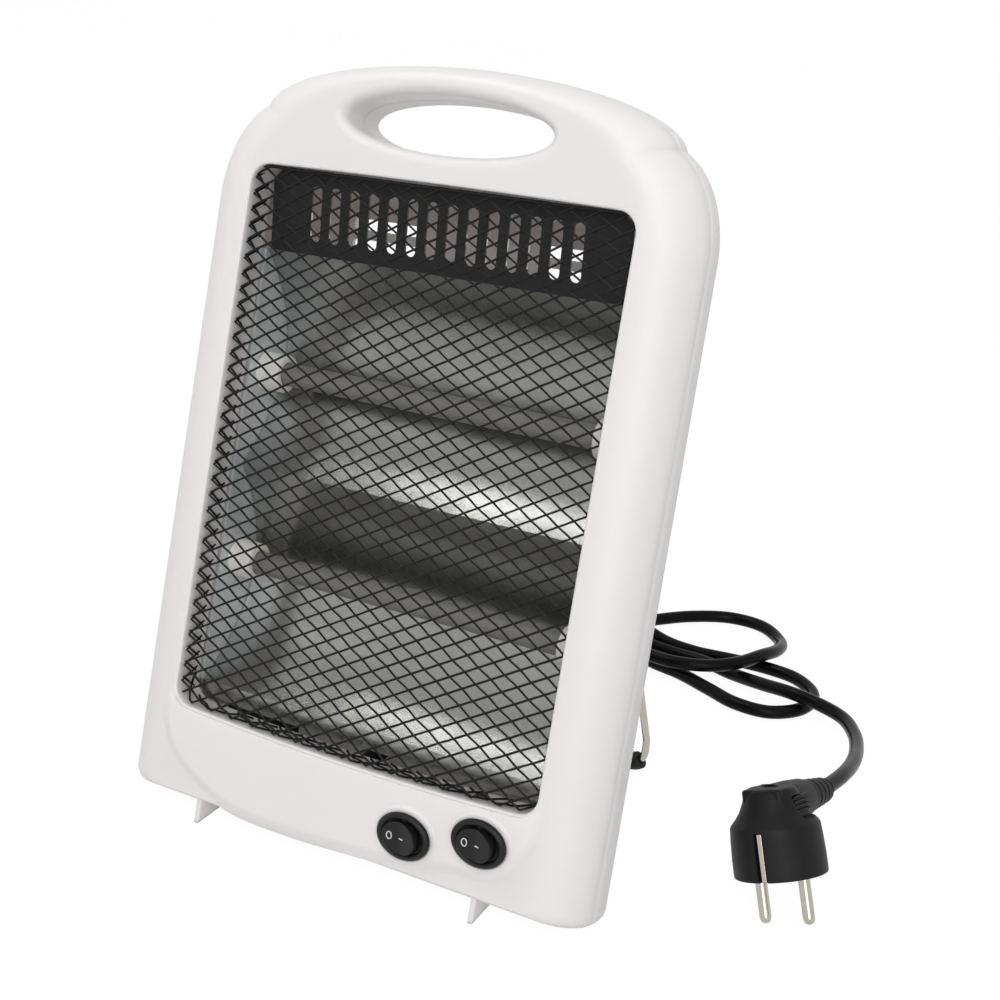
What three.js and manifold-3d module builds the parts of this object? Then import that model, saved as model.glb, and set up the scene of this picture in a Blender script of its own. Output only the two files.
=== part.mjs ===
// A quartz heater with two tubes behind a wire guard, leaning back on a folding wire stand.
// The housing is laid out on its own panel: x to the right, y back from the front face, z up the panel,
// with zero at the middle of the window's lower edge. The panel then leans back on its stand.
import * as THREE from 'three';
import { mergeVertices } from 'three/addons/utils/BufferGeometryUtils.js';
import Module from 'manifold-3d';

const wasm = await Module();
wasm.setup();

// Clearances and counts
const gap = 0.3;
const overrun = 2;
const merging = 0.02;
const lean = THREE.MathUtils.degToRad(14);
const roundSides = 14;
const smallSides = 8;
const arcSteps = 4;

// Housing
const halfWidth = 112.5;
const bodyTop = 282.2;
const bodyBottom = -41.5;
const wall = 2.3;
const edgeDepth = 23.2;
const sideRound = 23.2;
const topRound = 8.4;
const bottomRound = 4.7;
const cornerRadius = 5.5;
const partingDepth = 16;
const bodyDepth = 33.5;
const rearRound = bodyDepth - edgeDepth;
const shoulderRun = 29.7;
const shoulderX = halfWidth - shoulderRun;
const shoulderDrop = 62.7;
const shoulderZ = bodyTop - shoulderDrop;
const shoulderRise = 42.8;
const archInset = 19;
const archHalfWidth = halfWidth - archInset;
const archRise = 24.2;
const humpRise = 18.5;
const humpDepth = bodyDepth + humpRise;
const humpSide = 11.1;
const humpHalfWidth = halfWidth - humpSide;
const humpInset = 17.6;
const humpUnderTop = 49.7;
const humpTop = bodyTop - humpUnderTop;
const humpOverBottom = 8;
const humpBottom = bodyBottom + humpOverBottom;
const humpCorner = 26;
const humpRoot = 7.5;
const humpStart = bodyDepth - humpRoot;

// Carrying handle
const handleHalfHeight = 11.6;
const handleEdge = 4.7;
const handleGrip = 13.5;
const handleZ = bodyTop - handleGrip - handleHalfHeight;
const handleFlank = 47;
const handleHalfWidth = archHalfWidth - handleFlank;

// Window
const windowSide = 25.6;
const windowHalfWidth = halfWidth - windowSide;
const bridge = 7.6;
const windowHeight = handleZ - handleHalfHeight - handleEdge - bridge;
const windowCorner = 8.4;
const windowSag = 2.3;
const windowCrown = 0.7;
const windowReturn = 2;

// Raised panel with the switch seats
const bossRise = 1.3;
const bossSoftness = 1.7;
const bossRoot = 1;
const smileShares = [
  [-0.794, 0.178], [-0.736, 0.47], [-0.616, 0.689], [-0.449, 0.863], [-0.19, 0.892], [0.1, 0.851],
  [0.331, 0.802], [0.457, 0.672], [0.486, 0.677], [0.603, 0.704], [0.692, 0.586], [0.738, 0.4],
  [0.776, 0.231], [0.784, 0.06],
];

// Fins under the front edge
const finInset = 45.5;
const finX = halfWidth - finInset;
const finThickness = 2.1;
const finFront = 1;
const finDrop = 7;
const finTip = bodyBottom - finDrop;
const finRoot = 1;
const finRun = 23;

// Guard mesh
const guardFront = 1.6;
const guardShort = 2.4;
const guardDepth = partingDepth - guardShort - guardFront;
const guardThickness = 1;
const guardWire = 1.6;
const guardPitchX = 34.8;
const guardPitchZ = 20.6;
const guardBorder = 1.6;
const guardTopBand = 8;

// Vent plate
const plateClear = 2.1;
const plateHalfWidth = windowHalfWidth - gap - guardThickness - plateClear;
const plateCorner = 4;
const plateTopClear = 1;
const plateHigh = windowHeight - plateTopClear;
const plateRise = 33.2;
const plateLow = plateHigh - plateRise;
const plateFrontHigh = 9.3;
const plateSlope = 5.6;
const plateFrontLow = plateFrontHigh + plateSlope;
const plateThickness = 1;
const plateFlange = 8;
const slotCount = 14;
const slotPitch = 9.25;
const slotWidth = 4.8;
const slotHeight = 23.3;
const slotRise = 16.8;
const slotMiddle = plateLow + slotRise;

// Reflector and its end plates
const sheet = 0.8;
const troughLow = 7.4;
const troughHigh = plateLow - gap;
const ridgeLift = 1.15;
const ridgeZ = (troughLow + troughHigh) / 2 + ridgeLift;
const endPlateClear = 2.4;
const endPlateFront = partingDepth + endPlateClear;
const troughLip = endPlateFront + gap;
const troughClear = 4.3;
const troughDepth = humpDepth - wall - sheet - troughClear;
const ridgeRise = 21.3;
const ridgeDepth = troughDepth - ridgeRise;
const troughSteps = 8;
const endPlateX = windowHalfWidth - gap;
const endPlateBehind = 1.7;
const endPlateBack = troughDepth + endPlateBehind;
const endFlange = 9.4;
const reflectorScrewOut = 5.8;
const reflectorScrewX = endPlateX + reflectorScrewOut;
const reflectorScrewUp = 14.6;
const reflectorScrewLow = troughLow + reflectorScrewUp;
const reflectorScrewDown = 16.7;
const reflectorScrewHigh = troughHigh - reflectorScrewDown;

// Quartz tubes, their caps, coils and terminals
const tubeRadius = 5;
const tubeWall = 1.1;
const tubeBore = tubeRadius - tubeWall;
const tubeForward = 0.8;
const tubeDepth = (endPlateFront + troughDepth) / 2 - tubeForward;
const tubeLowLift = 6;
const tubeLowZ = (troughLow + ridgeZ) / 2 + tubeLowLift;
const tubeHighDrop = 5.45;
const tubeHighZ = (ridgeZ + troughHigh) / 2 - tubeHighDrop;
const capWall = 3.35;
const capRadius = tubeRadius + capWall;
const capLength = 11.8;
const capSocket = 7;
const terminalRadius = 1.4;
const terminalReach = 7;
const coilClear = 1.6;
const coilRadius = tubeBore - coilClear;
const coilWire = 0.6;
const coilCurls = 8;
const coilCurlSteps = 8;
const coilSides = 5;
const coilLead = 9;

// Switches
const switchTilt = THREE.MathUtils.degToRad(8);
const switchLowShares = [0.2933, 0.547];
const switchHighShares = [0.5849, 0.3711];
const bezelRadius = 11.25;
const bezelThickness = 2.2;
const padRim = 2.35;
const padRadius = bezelRadius + padRim;
const padRise = 2.5;
const bezelLip = 1.05;
const barrelRadius = bezelRadius - bezelLip;
const bezelFace = 2.65;
const pocketRadius = bezelRadius - bezelFace;
const rockerClear = 1;
const rockerRadius = pocketRadius - rockerClear;
const rockerAxisRise = 0.5;
const rockerCrown = 2.4;
const rockerLift = 1.2;
const rockerWaist = 1.1;
const rockerBelly = rockerRadius - rockerWaist;
const rockerThrow = THREE.MathUtils.degToRad(9);
const pocketClear = 0.5;
const pocketDepth = rockerBelly + pocketClear;
const barrelBase = 8;
const barrelDepth = pocketDepth + barrelBase;
const trunnionRadius = 1.1;
const trunnionSeat = 0.5;
const trunnionReach = pocketRadius + trunnionSeat;
const bladeWidth = 6.3;
const bladeThickness = 0.8;
const bladeLength = 7;
const bladeSpacing = 9;

// Screws and the posts they run into
const screwShank = 1.5;
const screwHead = 3;
const screwHeadHeight = 2.2;
const postWall = 1.3;
const postRadius = screwHead + gap + postWall;
const mountPostWall = 1.6;
const mountPostRadius = screwShank + gap + mountPostWall;
const screwSink = 7.5;
const housingScrewSeat = bodyDepth - screwSink;
const screwReach = 10;
const housingScrewTip = partingDepth - screwReach;
const screwLowInset = 11.5;
const screwLowX = halfWidth - screwLowInset;
const screwLowUp = 15.5;
const screwLowZ = bodyBottom + screwLowUp;
const screwMiddleInset = 10.9;
const screwMiddleX = halfWidth - screwMiddleInset;
const screwUnderRidge = 4.2;
const screwMiddleZ = ridgeZ - screwUnderRidge;
const screwTopClear = 12.2;
const screwTopX = handleHalfWidth + handleEdge + postRadius + screwTopClear;
const screwTopDrop = 3.1;
const screwTopZ = handleZ - screwTopDrop;

// Vents in the back
const ventWidth = 36;
const ventHeight = 4.7;
const ventBar = 56;
const ventPitchX = ventWidth + ventBar;
const ventRib = 4.3;
const ventPitchZ = ventHeight + ventRib;
const ventRows = 4;
const ventColumns = 2;
const ventTopDrop = 16.3;
const ventTopZ = humpTop - ventTopDrop;
const ventLowRise = 90.5;
const ventLowZ = humpBottom + ventLowRise;

// Stand
const wireRadius = 1.75;
const sleeveWall = 2.45;
const sleeveRadius = wireRadius + sleeveWall;
const standInset = 7.8;
const standX = humpHalfWidth - humpInset - standInset;
const footSplay = 5;
const footX = standX + footSplay;
const standHingeOut = 3.8;
const standHingeDepth = humpDepth + standHingeOut;
const standHingeZ = 120.9;
const standStub = 10.5;
const standBend = 4;
const standRun = 81.5;
const kneeDepth = standHingeDepth + standRun;
const footRun = 2.79;
const footDepth = kneeDepth + footRun;
const footBend = 8;
const kneeRise = 12.44;
const sleeveLength = 24;
const wireSides = 8;
const bendSteps = 4;
const bracketThickness = 5;
const bracketClear = 4.3;
const bracketHeight = 24;
const bracketNose = 3.8;
const bracketFlange = 11;
const bracketFlangeThickness = 2;
const stopAlong = 12;
const stopRadius = 2;
const stopReach = 6.4;

// Thermal cutout
const cutoutX = -24;
const cutoutRadius = 8;
const cutoutBehind = 7.7;
const cutoutFront = ridgeDepth + cutoutBehind;
const cutoutThickness = 6;
const cutoutTab = 4;
const cutoutTabHalf = 0.8;
const cutoutTabClear = 1.2;
const cutoutTabStart = ridgeDepth + sheet + cutoutTabClear;

// Tip over switch
const tipInset = 41.4;
const tipX = tipInset - humpHalfWidth;
const tipHalfWidth = 12;
const tipClear = 8;
const tipBack = humpDepth - wall - tipClear;
const tipLength = 22.2;
const tipFront = tipBack - tipLength;
const tipOverBottom = 7;
const tipBottom = humpBottom + tipOverBottom;
const tipHeight = 25.5;
const tipTop = tipBottom + tipHeight;
const tipWall = 2;
const tipPivotRun = 8;
const tipPivotDepth = tipFront + tipPivotRun;
const tipPivotDrop = 6;
const tipPinRadius = 1.1;
const tipArm = 9;
const tipArmHalf = 1.6;
const tipWeightHalf = 3;
const tipWeightHalfWidth = 7;
const tipWeightHeight = 7;
const tipPostRise = 12.5;
const tipPostZ = tipBottom + tipPostRise;

// Terminal block
const blockHalfWidth = 17;
const blockBeside = 13;
const blockX = tipX + tipHalfWidth + blockBeside + blockHalfWidth;
const blockClear = 5.5;
const blockBack = bodyDepth - blockClear;
const blockDepth = 10.5;
const blockFront = blockBack - blockDepth;
const blockOverBottom = 7;
const blockLow = bodyBottom + blockOverBottom;
const blockHeight = 11;
const blockScrewRadius = 2.4;
const blockScrewRise = 1.2;
const blockPitch = 11;

// Cord, its entry and the lead inside
const cordRadius = 3.4;
const cordSides = 8;
const cordSteps = 80;
const entryX = 20;
const entryZ = 15;
const reliefFlangeRadius = 7.5;
const reliefFlange = 2.7;
const reliefLip = 2.3;
const reliefNeck = reliefFlangeRadius - reliefLip;
const reliefSwell = 1;
const reliefThick = reliefNeck + reliefSwell;
const reliefSkin = 1.1;
const reliefThin = cordRadius + reliefSkin;
const reliefLength = 27;
const reliefInner = 3.2;
const leadSides = 8;
const leadBend = 9;
const leadDrop = 10;
const leadClear = 13.05;

// Plug
const pinSpacing = 19;
const pinRadius = 2.4;
const pinTipRadius = 1.3;
const pinTip = 2;
const pinLength = 19;
const pinHidden = 8;
const plugRadius = 18.6;
const plugSkirt = 7;
const plugWaistDraw = 0.9;
const plugWaistRadius = plugRadius - plugWaistDraw;
const plugWaist = 20.5;
const plugTopDraw = 7.4;
const plugTopRadius = plugRadius - plugTopDraw;
const plugTop = 34;
const plugArmDrop = 8;
const plugArmZ = plugTop - plugArmDrop;
const plugReliefSkin = 1.3;
const plugReliefEnd = cordRadius + plugReliefSkin;
const plugReliefTaper = 2.1;
const plugReliefRadius = plugReliefEnd + plugReliefTaper;
const plugReliefLength = 20;
const plugArmLip = 0.6;
const plugArmEnd = plugReliefRadius + plugArmLip;
const plugArmTaper = 1.8;
const plugArmRadius = plugArmEnd + plugArmTaper;
const plugArmOverhang = 7.4;
const plugArmLength = plugRadius + plugArmOverhang;
const plugTopWidth = 8.5;
const plugTopDepth = 9;
const gripSide = 1.2;
const gripWidth = plugTopRadius + gripSide;
const gripDepth = 3;
const earthHalfWidth = 1.7;
const earthChannel = 2.3;
const earthHeight = 16;
const earthThickness = 0.9;
const earthSink = 1;
const plugPlace = new THREE.Vector3(176.65, -12, 4.25);
const plugTilt = new THREE.Euler(
  THREE.MathUtils.degToRad(-15.2),
  THREE.MathUtils.degToRad(-22.1),
  THREE.MathUtils.degToRad(-6),
  'ZYX',
);

// The cord's route from the entry in the back to the plug, on the surface the heater stands on
const cordRoute = [
  [20, 21.6, 41.8], [20, 36, 37.9], [20, 54, 30.5], [20, 73, 21.5], [18, 92, 12.6], [13, 112, 6],
  [6, 134, 3.8], [2, 158, 3.8], [2, 182, 3.8], [9.5, 206, 3.8], [25, 227, 3.8], [41, 243, 3.8],
  [60.5, 253.5, 3.8], [80, 252, 3.8], [94.5, 238, 3.8], [98.5, 218, 8], [95.5, 199, 12],
  [87.5, 182, 12.4], [75, 171, 12], [58, 166, 11.6], [39, 166.5, 11.6], [20, 163, 11.6],
  [3, 151, 11.6], [-12, 134, 8], [-33, 122, 3.8], [-56, 129, 3.8], [-65, 151, 3.8], [-54, 172, 3.8],
  [-30, 179, 5.5], [-4, 180, 11.6], [21, 178, 9], [42, 175.4, 3.8], [61, 170.2, 3.8],
  [79.5, 162, 3.8], [97, 154.5, 3.8], [115, 155, 3.8], [128, 168, 3.8], [128.5, 186, 3.8],
  [115.5, 199, 3.8], [97.5, 202.5, 3.8], [78, 201.5, 3.8], [58, 199.5, 3.8], [40, 199.7, 5.5],
  [20, 204.5, 10.4], [2, 213, 11.6], [-16, 226, 8], [-37, 235, 3.8], [-60, 231, 3.8],
  [-72, 211, 3.8], [-62, 190.5, 3.8], [-38, 187.5, 5], [-12, 190, 9.5], [9, 191.8, 11.6],
  [31, 191, 6], [50, 191.8, 3.8], [66, 191, 3.8], [84, 185.5, 3.8], [104, 174.5, 8],
  [121, 166.5, 11.6], [137, 163.5, 11], [151.5, 155, 11.5], [162, 137, 14], [168.5, 115, 18],
  [172.3, 90, 24], [173, 67, 29.5], [171, 46.2, 33.3],
];

// Finishes
const finish = (color, roughness, metalness = 0) =>
  new THREE.MeshStandardMaterial({ color, roughness, metalness });
const whitePlastic = finish(0xe9e6e4, 0.45);
const blackSteel = finish(0x161616, 0.5, 0.3);
const blackPlastic = finish(0x1d1d1e, 0.5);
const brightSheet = finish(0xc9cac8, 0.22, 1);
const frostedQuartz = finish(0x6f6d6b, 0.4);
const ceramic = finish(0xece9e2, 0.6);
const nickel = finish(0xb9b3a6, 0.25, 1);
const resistanceWire = finish(0x6b6258, 0.5, 0.8);
const rubber = finish(0x191919, 0.8);

// Solids: joining and cutting
function toSolid(geometry) {
  const bare = geometry.clone();
  bare.deleteAttribute('normal');
  bare.deleteAttribute('uv');
  const merged = mergeVertices(bare);
  return new wasm.Manifold(new wasm.Mesh({
    numProp: 3,
    vertProperties: new Float32Array(merged.attributes.position.array),
    triVerts: new Uint32Array(merged.index.array),
  }));
}

function toGeometry(solid) {
  const { vertProperties, triVerts } = solid.simplify(merging).getMesh();
  const geometry = new THREE.BufferGeometry();
  geometry.setAttribute('position', new THREE.BufferAttribute(vertProperties, 3));
  geometry.setIndex(new THREE.BufferAttribute(triVerts, 1));
  geometry.computeVertexNormals();
  return geometry;
}

const join = (...parts) => parts.reduce((whole, part) => whole.add(part));
const cut = (body, ...tools) => tools.reduce((whole, tool) => whole.subtract(tool), body);

// Basic shapes on the panel
function slab(shape, front, back, steps = arcSteps) {
  const geometry = new THREE.ExtrudeGeometry(shape, {
    depth: back - front,
    bevelEnabled: false,
    curveSegments: steps,
  });
  geometry.rotateX(Math.PI / 2);
  return geometry.translate(0, back, 0);
}

function beam(shape, left, right, steps = arcSteps) {
  const geometry = new THREE.ExtrudeGeometry(shape, {
    depth: right - left,
    bevelEnabled: false,
    curveSegments: steps,
  });
  geometry.rotateX(Math.PI / 2);
  geometry.rotateZ(Math.PI / 2);
  return geometry.translate(left, 0, 0);
}

function block(x0, x1, y0, y1, z0, z1) {
  const geometry = new THREE.BoxGeometry(x1 - x0, y1 - y0, z1 - z0);
  return geometry.translate((x0 + x1) / 2, (y0 + y1) / 2, (z0 + z1) / 2);
}

function rodY(radius, front, back, x, z, sides = roundSides, backRadius = radius) {
  const geometry = new THREE.CylinderGeometry(backRadius, radius, back - front, sides);
  return geometry.translate(x, (front + back) / 2, z);
}

function rodX(radius, left, right, y, z, sides = roundSides) {
  const geometry = new THREE.CylinderGeometry(radius, radius, right - left, sides);
  geometry.rotateZ(Math.PI / 2);
  return geometry.translate((left + right) / 2, y, z);
}

function rodZ(radius, low, high, x, y, sides = roundSides, highRadius = radius) {
  const geometry = new THREE.CylinderGeometry(highRadius, radius, high - low, sides);
  geometry.rotateX(Math.PI / 2);
  return geometry.translate(x, y, (low + high) / 2);
}

const outlineShape = (points) => new THREE.Shape(points.map(([x, y]) => new THREE.Vector2(x, y)));

function ringShape(outer, inner, x = 0, y = 0) {
  const shape = new THREE.Shape().absarc(x, y, outer, 0, 2 * Math.PI);
  if (inner) {
    shape.holes.push(new THREE.Path().absarc(x, y, inner, 0, 2 * Math.PI));
  }
  return shape;
}

function ellipseShape(radiusX, radiusY, x, y) {
  return new THREE.Shape().absellipse(x, y, radiusX, radiusY, 0, 2 * Math.PI);
}

// A closed skin through a stack of rings with the same number of points, front ring first
function loft(rings) {
  const count = rings[0].length;
  const index = [];
  for (let ring = 0; ring < rings.length - 1; ring += 1) {
    for (let i = 0; i < count; i += 1) {
      const next = (i + 1) % count;
      const near = ring * count;
      const far = near + count;
      index.push(near + i, far + i, far + next, near + i, far + next, near + next);
    }
  }
  const flat = rings[0].map((point) => new THREE.Vector2(point.x, point.z));
  const last = (rings.length - 1) * count;
  for (const [i, j, k] of THREE.ShapeUtils.triangulateShape(flat, [])) {
    index.push(i, j, k, last + k, last + j, last + i);
  }
  const positions = rings.flat().flatMap((point) => [point.x, point.y, point.z]);
  const geometry = new THREE.BufferGeometry();
  geometry.setAttribute('position', new THREE.Float32BufferAttribute(positions, 3));
  geometry.setIndex(index);
  geometry.computeVertexNormals();
  return geometry;
}

// A bent rod's middle line: straight runs with rounded corners, sampled only where it bends
class Route extends THREE.Curve {
  constructor(points) {
    super();
    this.points = points;
  }

  getPoint(t, target = new THREE.Vector3()) {
    const place = t * (this.points.length - 1);
    const before = Math.min(Math.floor(place), this.points.length - 2);
    return target.lerpVectors(this.points[before], this.points[before + 1], place - before);
  }

  getPointAt(u, target) {
    return this.getPoint(u, target);
  }

  getTangentAt(u, target) {
    return this.getTangent(u, target);
  }
}

function roundedRoute(corners, bends) {
  const points = [corners[0]];
  for (let i = 1; i < corners.length - 1; i += 1) {
    const into = corners[i].clone().sub(corners[i - 1]).normalize();
    const out = corners[i + 1].clone().sub(corners[i]).normalize();
    const reach = bends[i - 1] * Math.tan(into.angleTo(out) / 2);
    const start = corners[i].clone().addScaledVector(into, -reach);
    const end = corners[i].clone().addScaledVector(out, reach);
    points.push(...new THREE.QuadraticBezierCurve3(start, corners[i], end).getPoints(bendSteps));
  }
  points.push(corners[corners.length - 1]);
  return new Route(points);
}

function sweep(shape, route, sides) {
  return new THREE.ExtrudeGeometry(shape, {
    steps: route.points.length - 1,
    extrudePath: route,
    curveSegments: sides / 2,
  });
}

// Assembly
const heater = new THREE.Group();
const panel = new THREE.Group();
panel.rotation.x = -lean;
heater.add(panel);

function addPiece(parent, name, shape, material, place = new THREE.Vector3()) {
  const geometry = shape.isBufferGeometry ? shape : toGeometry(shape);
  const mesh = new THREE.Mesh(geometry, material);
  mesh.name = name;
  mesh.position.copy(place);
  parent.add(mesh);
  return mesh;
}

// The heights at which the body's right shoulder runs into the arch of the handle
function notchAngle() {
  let low = 0;
  let high = Math.PI / 2;
  const archZ = bodyTop - archRise;
  for (let i = 0; i < 40; i += 1) {
    const angle = (low + high) / 2;
    const x = shoulderX + (halfWidth - shoulderX) * Math.cos(angle);
    const z = shoulderZ + shoulderRise * Math.sin(angle);
    const outside = (x / archHalfWidth) ** 2 + ((z - archZ) / archRise) ** 2 > 1;
    if (outside) {
      low = angle;
    } else {
      high = angle;
    }
  }
  return low;
}

function bodyOutline() {
  const right = [];
  for (let i = 0; i <= arcSteps; i += 1) {
    const angle = -Math.PI / 2 + (i / arcSteps) * (Math.PI / 2);
    right.push([
      halfWidth - cornerRadius + cornerRadius * Math.cos(angle),
      bodyBottom + cornerRadius + cornerRadius * Math.sin(angle),
    ]);
  }
  const notch = notchAngle();
  const shoulderSteps = 6;
  for (let i = 0; i <= shoulderSteps; i += 1) {
    const angle = (i / shoulderSteps) * notch;
    right.push([
      shoulderX + (halfWidth - shoulderX) * Math.cos(angle),
      shoulderZ + shoulderRise * Math.sin(angle),
    ]);
  }
  const [notchX, notchZ] = right[right.length - 1];
  const archZ = bodyTop - archRise;
  const archStart = Math.atan2((notchZ - archZ) / archRise, notchX / archHalfWidth);
  const archSteps = 7;
  for (let i = 1; i <= archSteps; i += 1) {
    const angle = archStart + (i / archSteps) * (Math.PI / 2 - archStart);
    right.push([archHalfWidth * Math.cos(angle), archZ + archRise * Math.sin(angle)]);
  }
  right[right.length - 1][0] = 0;
  const left = right.slice(0, -1).reverse().map(([x, z]) => [-x, z]);
  return [...right, ...left];
}

const outline = bodyOutline();

// The body's outline at one depth, drawn in at its sides, top and bottom
function bodyRing(depth, side, top, bottom) {
  const height = bodyTop - bodyBottom;
  return outline.map(([x, z]) => new THREE.Vector3(
    (x * (halfWidth - side)) / halfWidth,
    depth,
    bodyBottom + bottom + ((z - bodyBottom) * (height - top - bottom)) / height,
  ));
}

function frontSkin(inset, end, steps) {
  const rings = [];
  const last = Math.acos(1 - (partingDepth - inset) / edgeDepth);
  for (let i = 0; i <= steps; i += 1) {
    const angle = (i / steps) * last;
    const share = 1 - Math.sin(angle);
    rings.push(bodyRing(
      inset + edgeDepth * (1 - Math.cos(angle)),
      inset + sideRound * share,
      inset + topRound * share,
      inset + bottomRound * share,
    ));
  }
  if (end > partingDepth) {
    rings.push(rings[rings.length - 1].map((point) => point.clone().setY(end)));
  }
  return toSolid(loft(rings));
}

function rearSkin(inset, start, steps) {
  const rings = [];
  const first = Math.acos(1 - partingDepth / edgeDepth);
  const share = 1 - Math.sin(first);
  rings.push(bodyRing(
    start,
    inset + sideRound * share,
    inset + topRound * share,
    inset + bottomRound * share,
  ));
  for (let i = 0; i <= steps; i += 1) {
    const angle = (i / steps) * (Math.PI / 2);
    const radius = rearRound - inset;
    const drawn = inset + radius * (1 - Math.cos(angle));
    rings.push(bodyRing(bodyDepth - inset - radius * (1 - Math.sin(angle)), drawn, drawn, drawn));
  }
  return toSolid(loft(rings));
}

function roundedBoxPoints(half, low, high, radius, steps) {
  const points = [];
  const centres = [
    [half - radius, low + radius, -Math.PI / 2],
    [half - radius, high - radius, 0],
    [radius - half, high - radius, Math.PI / 2],
    [radius - half, low + radius, Math.PI],
  ];
  for (const [x, z, from] of centres) {
    for (let i = 0; i <= steps; i += 1) {
      const angle = from + (i / steps) * (Math.PI / 2);
      points.push([x + radius * Math.cos(angle), z + radius * Math.sin(angle)]);
    }
  }
  return points;
}

function humpSkin(inset, steps) {
  const rings = [];
  const base = (drawn, depth) => roundedBoxPoints(
    humpHalfWidth - drawn,
    humpBottom + drawn,
    humpTop - drawn,
    humpCorner - drawn / 2,
    3,
  ).map(([x, z]) => new THREE.Vector3(x, depth, z));
  rings.push(base(inset, humpStart));
  for (let i = 0; i <= steps; i += 1) {
    const angle = (i / steps) * (Math.PI / 2);
    const drawn = inset + humpInset * (1 - Math.cos(angle));
    rings.push(base(drawn, bodyDepth - inset + humpRise * Math.sin(angle)));
  }
  return toSolid(loft(rings));
}

function windowShape(grow) {
  const half = windowHalfWidth + grow;
  const low = -grow;
  const high = windowHeight + grow;
  const radius = windowCorner + grow;
  const shape = new THREE.Shape();
  shape.moveTo(radius - half, low);
  shape.quadraticCurveTo(0, low - 2 * windowSag, half - radius, low);
  shape.absarc(half - radius, low + radius, radius, -Math.PI / 2, 0);
  shape.absarc(half - radius, high - radius, radius, 0, Math.PI / 2);
  shape.quadraticCurveTo(0, high + 2 * windowCrown, radius - half, high);
  shape.absarc(radius - half, high - radius, radius, Math.PI / 2, Math.PI);
  shape.absarc(radius - half, low + radius, radius, Math.PI, 1.5 * Math.PI);
  return shape;
}

// The hole of the handle opens out to both faces
function handleCut(from, to) {
  const flare = (edge, depth, inward) => {
    const rings = [];
    const steps = 4;
    for (let i = 0; i <= steps; i += 1) {
      const angle = (i / steps) * (Math.PI / 2);
      const grown = handleEdge * (1 - Math.sin(angle));
      rings.push({ depth: depth + inward * handleEdge * (1 - Math.cos(angle)), grown });
    }
    return rings;
  };
  const stops = [{ depth: from, grown: handleEdge }];
  if (from < 0) {
    stops.push(...flare(handleEdge, 0, 1));
  }
  if (to > bodyDepth) {
    stops.push(...flare(handleEdge, bodyDepth, -1).reverse());
  }
  stops.push({ depth: to, grown: handleEdge });
  if (from >= 0) {
    stops[0].grown = 0;
  }
  if (to <= bodyDepth) {
    stops[stops.length - 1].grown = 0;
  }
  const sides = 28;
  const rings = stops.map(({ depth, grown }) => Array.from({ length: sides }, (unused, i) => {
    const angle = (i / sides) * 2 * Math.PI;
    return new THREE.Vector3(
      (handleHalfWidth + grown) * Math.cos(angle),
      depth,
      handleZ + (handleHalfHeight + grown) * Math.sin(angle),
    );
  }));
  return toSolid(loft(rings));
}

function handleCollar(front, back) {
  return toSolid(slab(
    ellipseShape(handleHalfWidth + wall, handleHalfHeight + wall, 0, handleZ),
    front,
    back,
    2 * arcSteps,
  ));
}

const housingScrews = [
  ['left_low', -screwLowX, screwLowZ],
  ['right_low', screwLowX, screwLowZ],
  ['left_middle', -screwMiddleX, screwMiddleZ],
  ['right_middle', screwMiddleX, screwMiddleZ],
  ['left_top', -screwTopX, screwTopZ],
  ['right_top', screwTopX, screwTopZ],
];

const switchPlaces = [['left', switchLowShares], ['right', switchHighShares]].map(
  ([name, [across, down]]) => [name, across * halfWidth, down * bodyBottom],
);

// Turns a shape made round a switch's own seat, facing forward, into its place on the front
function seatSwitch(geometry, x, z) {
  geometry.rotateX(switchTilt);
  return geometry.translate(x, -padRise, z);
}

function smilePanel() {
  const low = smileShares.map(([across, down]) => new THREE.Vector2(across * halfWidth, down * bodyBottom));
  const curve = new THREE.SplineCurve(low);
  const shape = new THREE.Shape(curve.getPoints(2 * low.length));
  shape.lineTo(low[low.length - 1].x, wall);
  shape.lineTo(low[0].x, wall);
  const geometry = new THREE.ExtrudeGeometry(shape, {
    depth: bossRoot,
    bevelThickness: bossRise,
    bevelSize: bossSoftness,
    bevelOffset: -bossSoftness,
    bevelSegments: 2,
  });
  geometry.rotateX(Math.PI / 2);
  return toSolid(geometry.translate(0, bossRoot, 0));
}

function fin(side) {
  const floor = (depth) => finTip + Math.tan(lean) * (depth - finFront);
  const underside = bodyBottom - gap;
  const shape = outlineShape([
    [finFront, finTip],
    [finFront + finRun, floor(finFront + finRun)],
    [finFront + finRun, underside],
    [partingDepth - gap, underside],
    [partingDepth - gap, bodyBottom + wall],
    [finFront, bodyBottom + bottomRound - finRoot],
  ]);
  const middle = side * finX;
  return toSolid(beam(shape, middle - finThickness / 2, middle + finThickness / 2));
}

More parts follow.
